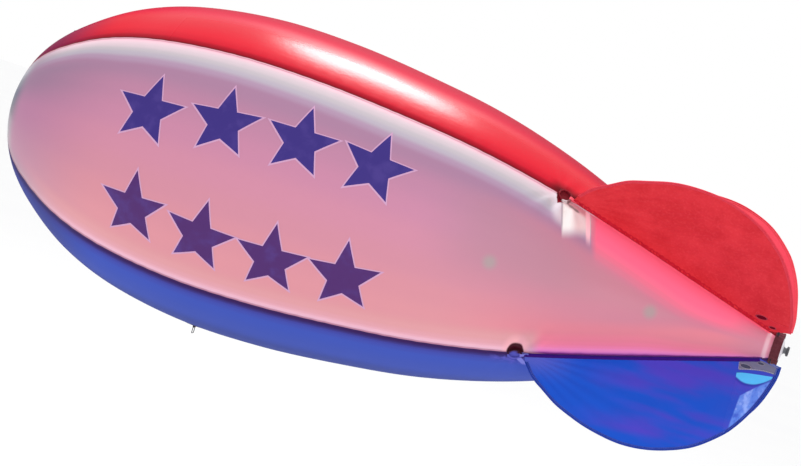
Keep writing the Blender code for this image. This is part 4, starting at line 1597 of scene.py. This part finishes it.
# %% Plastic and steel
# Each row: name, two colours, roughness, how far it is metal.
HARD = (
    ("valve_plastic", (92, 94, 100), (112, 114, 120), 0.42, 0.0),
    ("plug_plastic", (48, 48, 54), (62, 62, 68), 0.45, 0.0),
    ("ring_steel", (50, 51, 56), (70, 71, 77), 0.40, 1.0),
    ("rosy_metal", (150, 40, 56), (176, 60, 76), 0.45, 0.3),
    ("grey_metal", (120, 124, 140), (146, 150, 166), 0.38, 0.6),
)
for name, first, second, roughness, metallic in HARD:
    paint = Paint(name, roughness, metallic=metallic)
    wear = paint.noise(paint.places()[0], 140.0, detail=5.0, stretch=(1.0, 0.25, 0.25))
    paint.colour = paint.mix(wear.step(0.4, 0.7), first, second)
    paint.finish(Roughness=wear * 0.18 + (roughness - 0.09), Normal=paint.bump(wear, 0.0002))
print("materials:", len(bpy.data.materials))

# %% [markdown]
# ## Putting the finishes on
#
# Each piece rides on a body of the frame and stands for the plain solid that holds its place there.

# %% Dress the film
gore_length = lengths([on_hull(share, 90.0) for share in gore_shares()])[-1]
gore_width = math.pi / 2 * max(hull_radius(share) for share in gore_shares())
for node, turn, film in GORES:
    piece = gores[node]
    dress(piece, "hull", film, film, node)
for name, piece in tapes.items():
    dress(piece, "hull", "seam_tape", "seam_tape", "seam_" + name)
dress(nose_patch, "hull", "white_film", "nose_film", "nose_patch")
dress(tail_band, "hull", "dark_webbing", "collar_webbing", "tail_collar")
dress(tail_cap, "hull", "grey_film", "tail_film", "tail_cap")
dress(valve, "hull", "valve_plastic", "valve_plastic", "filling_valve")
dress(plug, "hull", "valve_plastic", "plug_plastic", "valve_cap")
print("a gore was cut", round(gore_width, 2), "by", round(gore_length, 2), "m")

# %% Dress the fins and their ties
# Each row: pieces, then slot and finish as (top fins, belly fins), then what the nodes' names begin with.
FIN_SLOTS, DARK, PALE = ("red_fin", "blue_fin"), 2 * ("dark_webbing",), 2 * ("pale_webbing",)
FIN_DRESS = (
    (fins, FIN_SLOTS, ("red_fin_cloth", "blue_fin_cloth"), "fin_"),
    (hems, FIN_SLOTS, ("red_hem_cloth", "blue_hem_cloth"), "fin_hem_"),
    (root_hems, FIN_SLOTS, ("red_root_cloth", "blue_root_cloth"), ""),
    (stitches, FIN_SLOTS, ("red_thread", "blue_thread"), ""),
    (corner_patches, FIN_SLOTS, ("red_webbing", "grey_webbing"), ""),
    (corner_threads, FIN_SLOTS, ("red_thread", "pale_thread"), ""),
    (eyelets, ("steel", "steel"), ("rosy_metal", "grey_metal"), ""),
    (eyelet_holes, DARK, ("eyelet_shade", "eyelet_grey"), ""),
    (panels, FIN_SLOTS, ("", "rear_panel_film"), ""),
    (anchors, PALE, 2 * ("anchor_webbing",), "fin_anchor_"),
    (anchor_threads, PALE, 2 * ("anchor_webbing",), ""),
    (loops, DARK, 2 * ("loop_cord",), "fin_loop_"),
    (straps, PALE, ("rose_webbing", "lilac_webbing"), "fin_strap_"),
    (ties, DARK, 2 * ("dark_cord",), "rear_tie_"),
)
for group, slots, finishes, node in FIN_DRESS:
    for name, piece in group.items():
        low = name.startswith("belly")
        dress(piece, "hull", slots[low], finishes[low], *([node + name] if node else []))
for name in fins:
    pieces = [group[name] for group, *_ in FIN_DRESS[1:9] if name in group]
    "tie_" + name
    "strap_" + name

# %% Dress the moorings and marks
for name, (disc, rows, keeper, ring) in moorings.items():
    dress(disc, "hull", "dark_webbing", "dark_webbing", "mooring_patch_" + name)
    dress(rows, "hull", "dark_webbing", "dark_thread")
    dress(keeper, "hull", "pale_webbing", "dark_webbing", "mooring_keeper_" + name)
    dress(ring, "ring_" + name, "steel", "ring_steel", "mooring_ring_" + name)
for (layer, title), piece in marks.items():
    dress(piece, "hull", "white_film", "indigo_print" if layer == "star" else "border_print")
print("all pieces dressed")

# %% [markdown]
# ## Floor and light
#
# The balloon floats over a plain pale floor, under a pale even sky. One soft lamp stands high on the far
# side, where its reflection runs along the red film, and a wide weak one fills the near side.

# %% Floor, sky and lamps
FLOOR_Z = -3.6
floor = primitive(
    bpy.ops.mesh.primitive_grid_add, "floor", x_subdivisions=4, y_subdivisions=4, size=240.0,
    location=(0.0, 0.0, FLOOR_Z),
)
floor_paint = Paint("floor_paint", 0.9, 0.1)
clouds = floor_paint.noise(floor_paint.places()[0], 0.4, detail=1.0)
floor_paint.colour = floor_paint.mix(clouds, (250, 250, 251), (253, 253, 253))
floor_paint.finish()
floor.data.materials.append(floor_paint.material)
world = bpy.data.worlds.new("sky")
world.use_nodes = True
bpy.context.scene.world = world
sky = world.node_tree.nodes["Background"].inputs
sky["Color"].default_value = (1.0, 1.0, 1.0, 1.0)
sky["Strength"].default_value = 1.0


def lamp(name, place, aim, size, power):
    """A square soft lamp that shines from its place to its aim."""
    fresh()
    bpy.ops.object.light_add(type="AREA", location=place)
    light = bpy.context.object
    light.name = name
    light.data.size = size
    light.data.energy = power
    light.rotation_euler = (Vector(aim) - Vector(place)).to_track_quat("-Z", "Y").to_euler()


lamp("high_lamp", (-1.8, 4.6, 11.4), (-0.3, 0.0, 0.6), 3.5, 1650.0)
lamp("near_fill", (6.0, -14.0, 5.0), (0.0, 0.0, 0.0), 8.0, 500.0)
print("lamps placed")
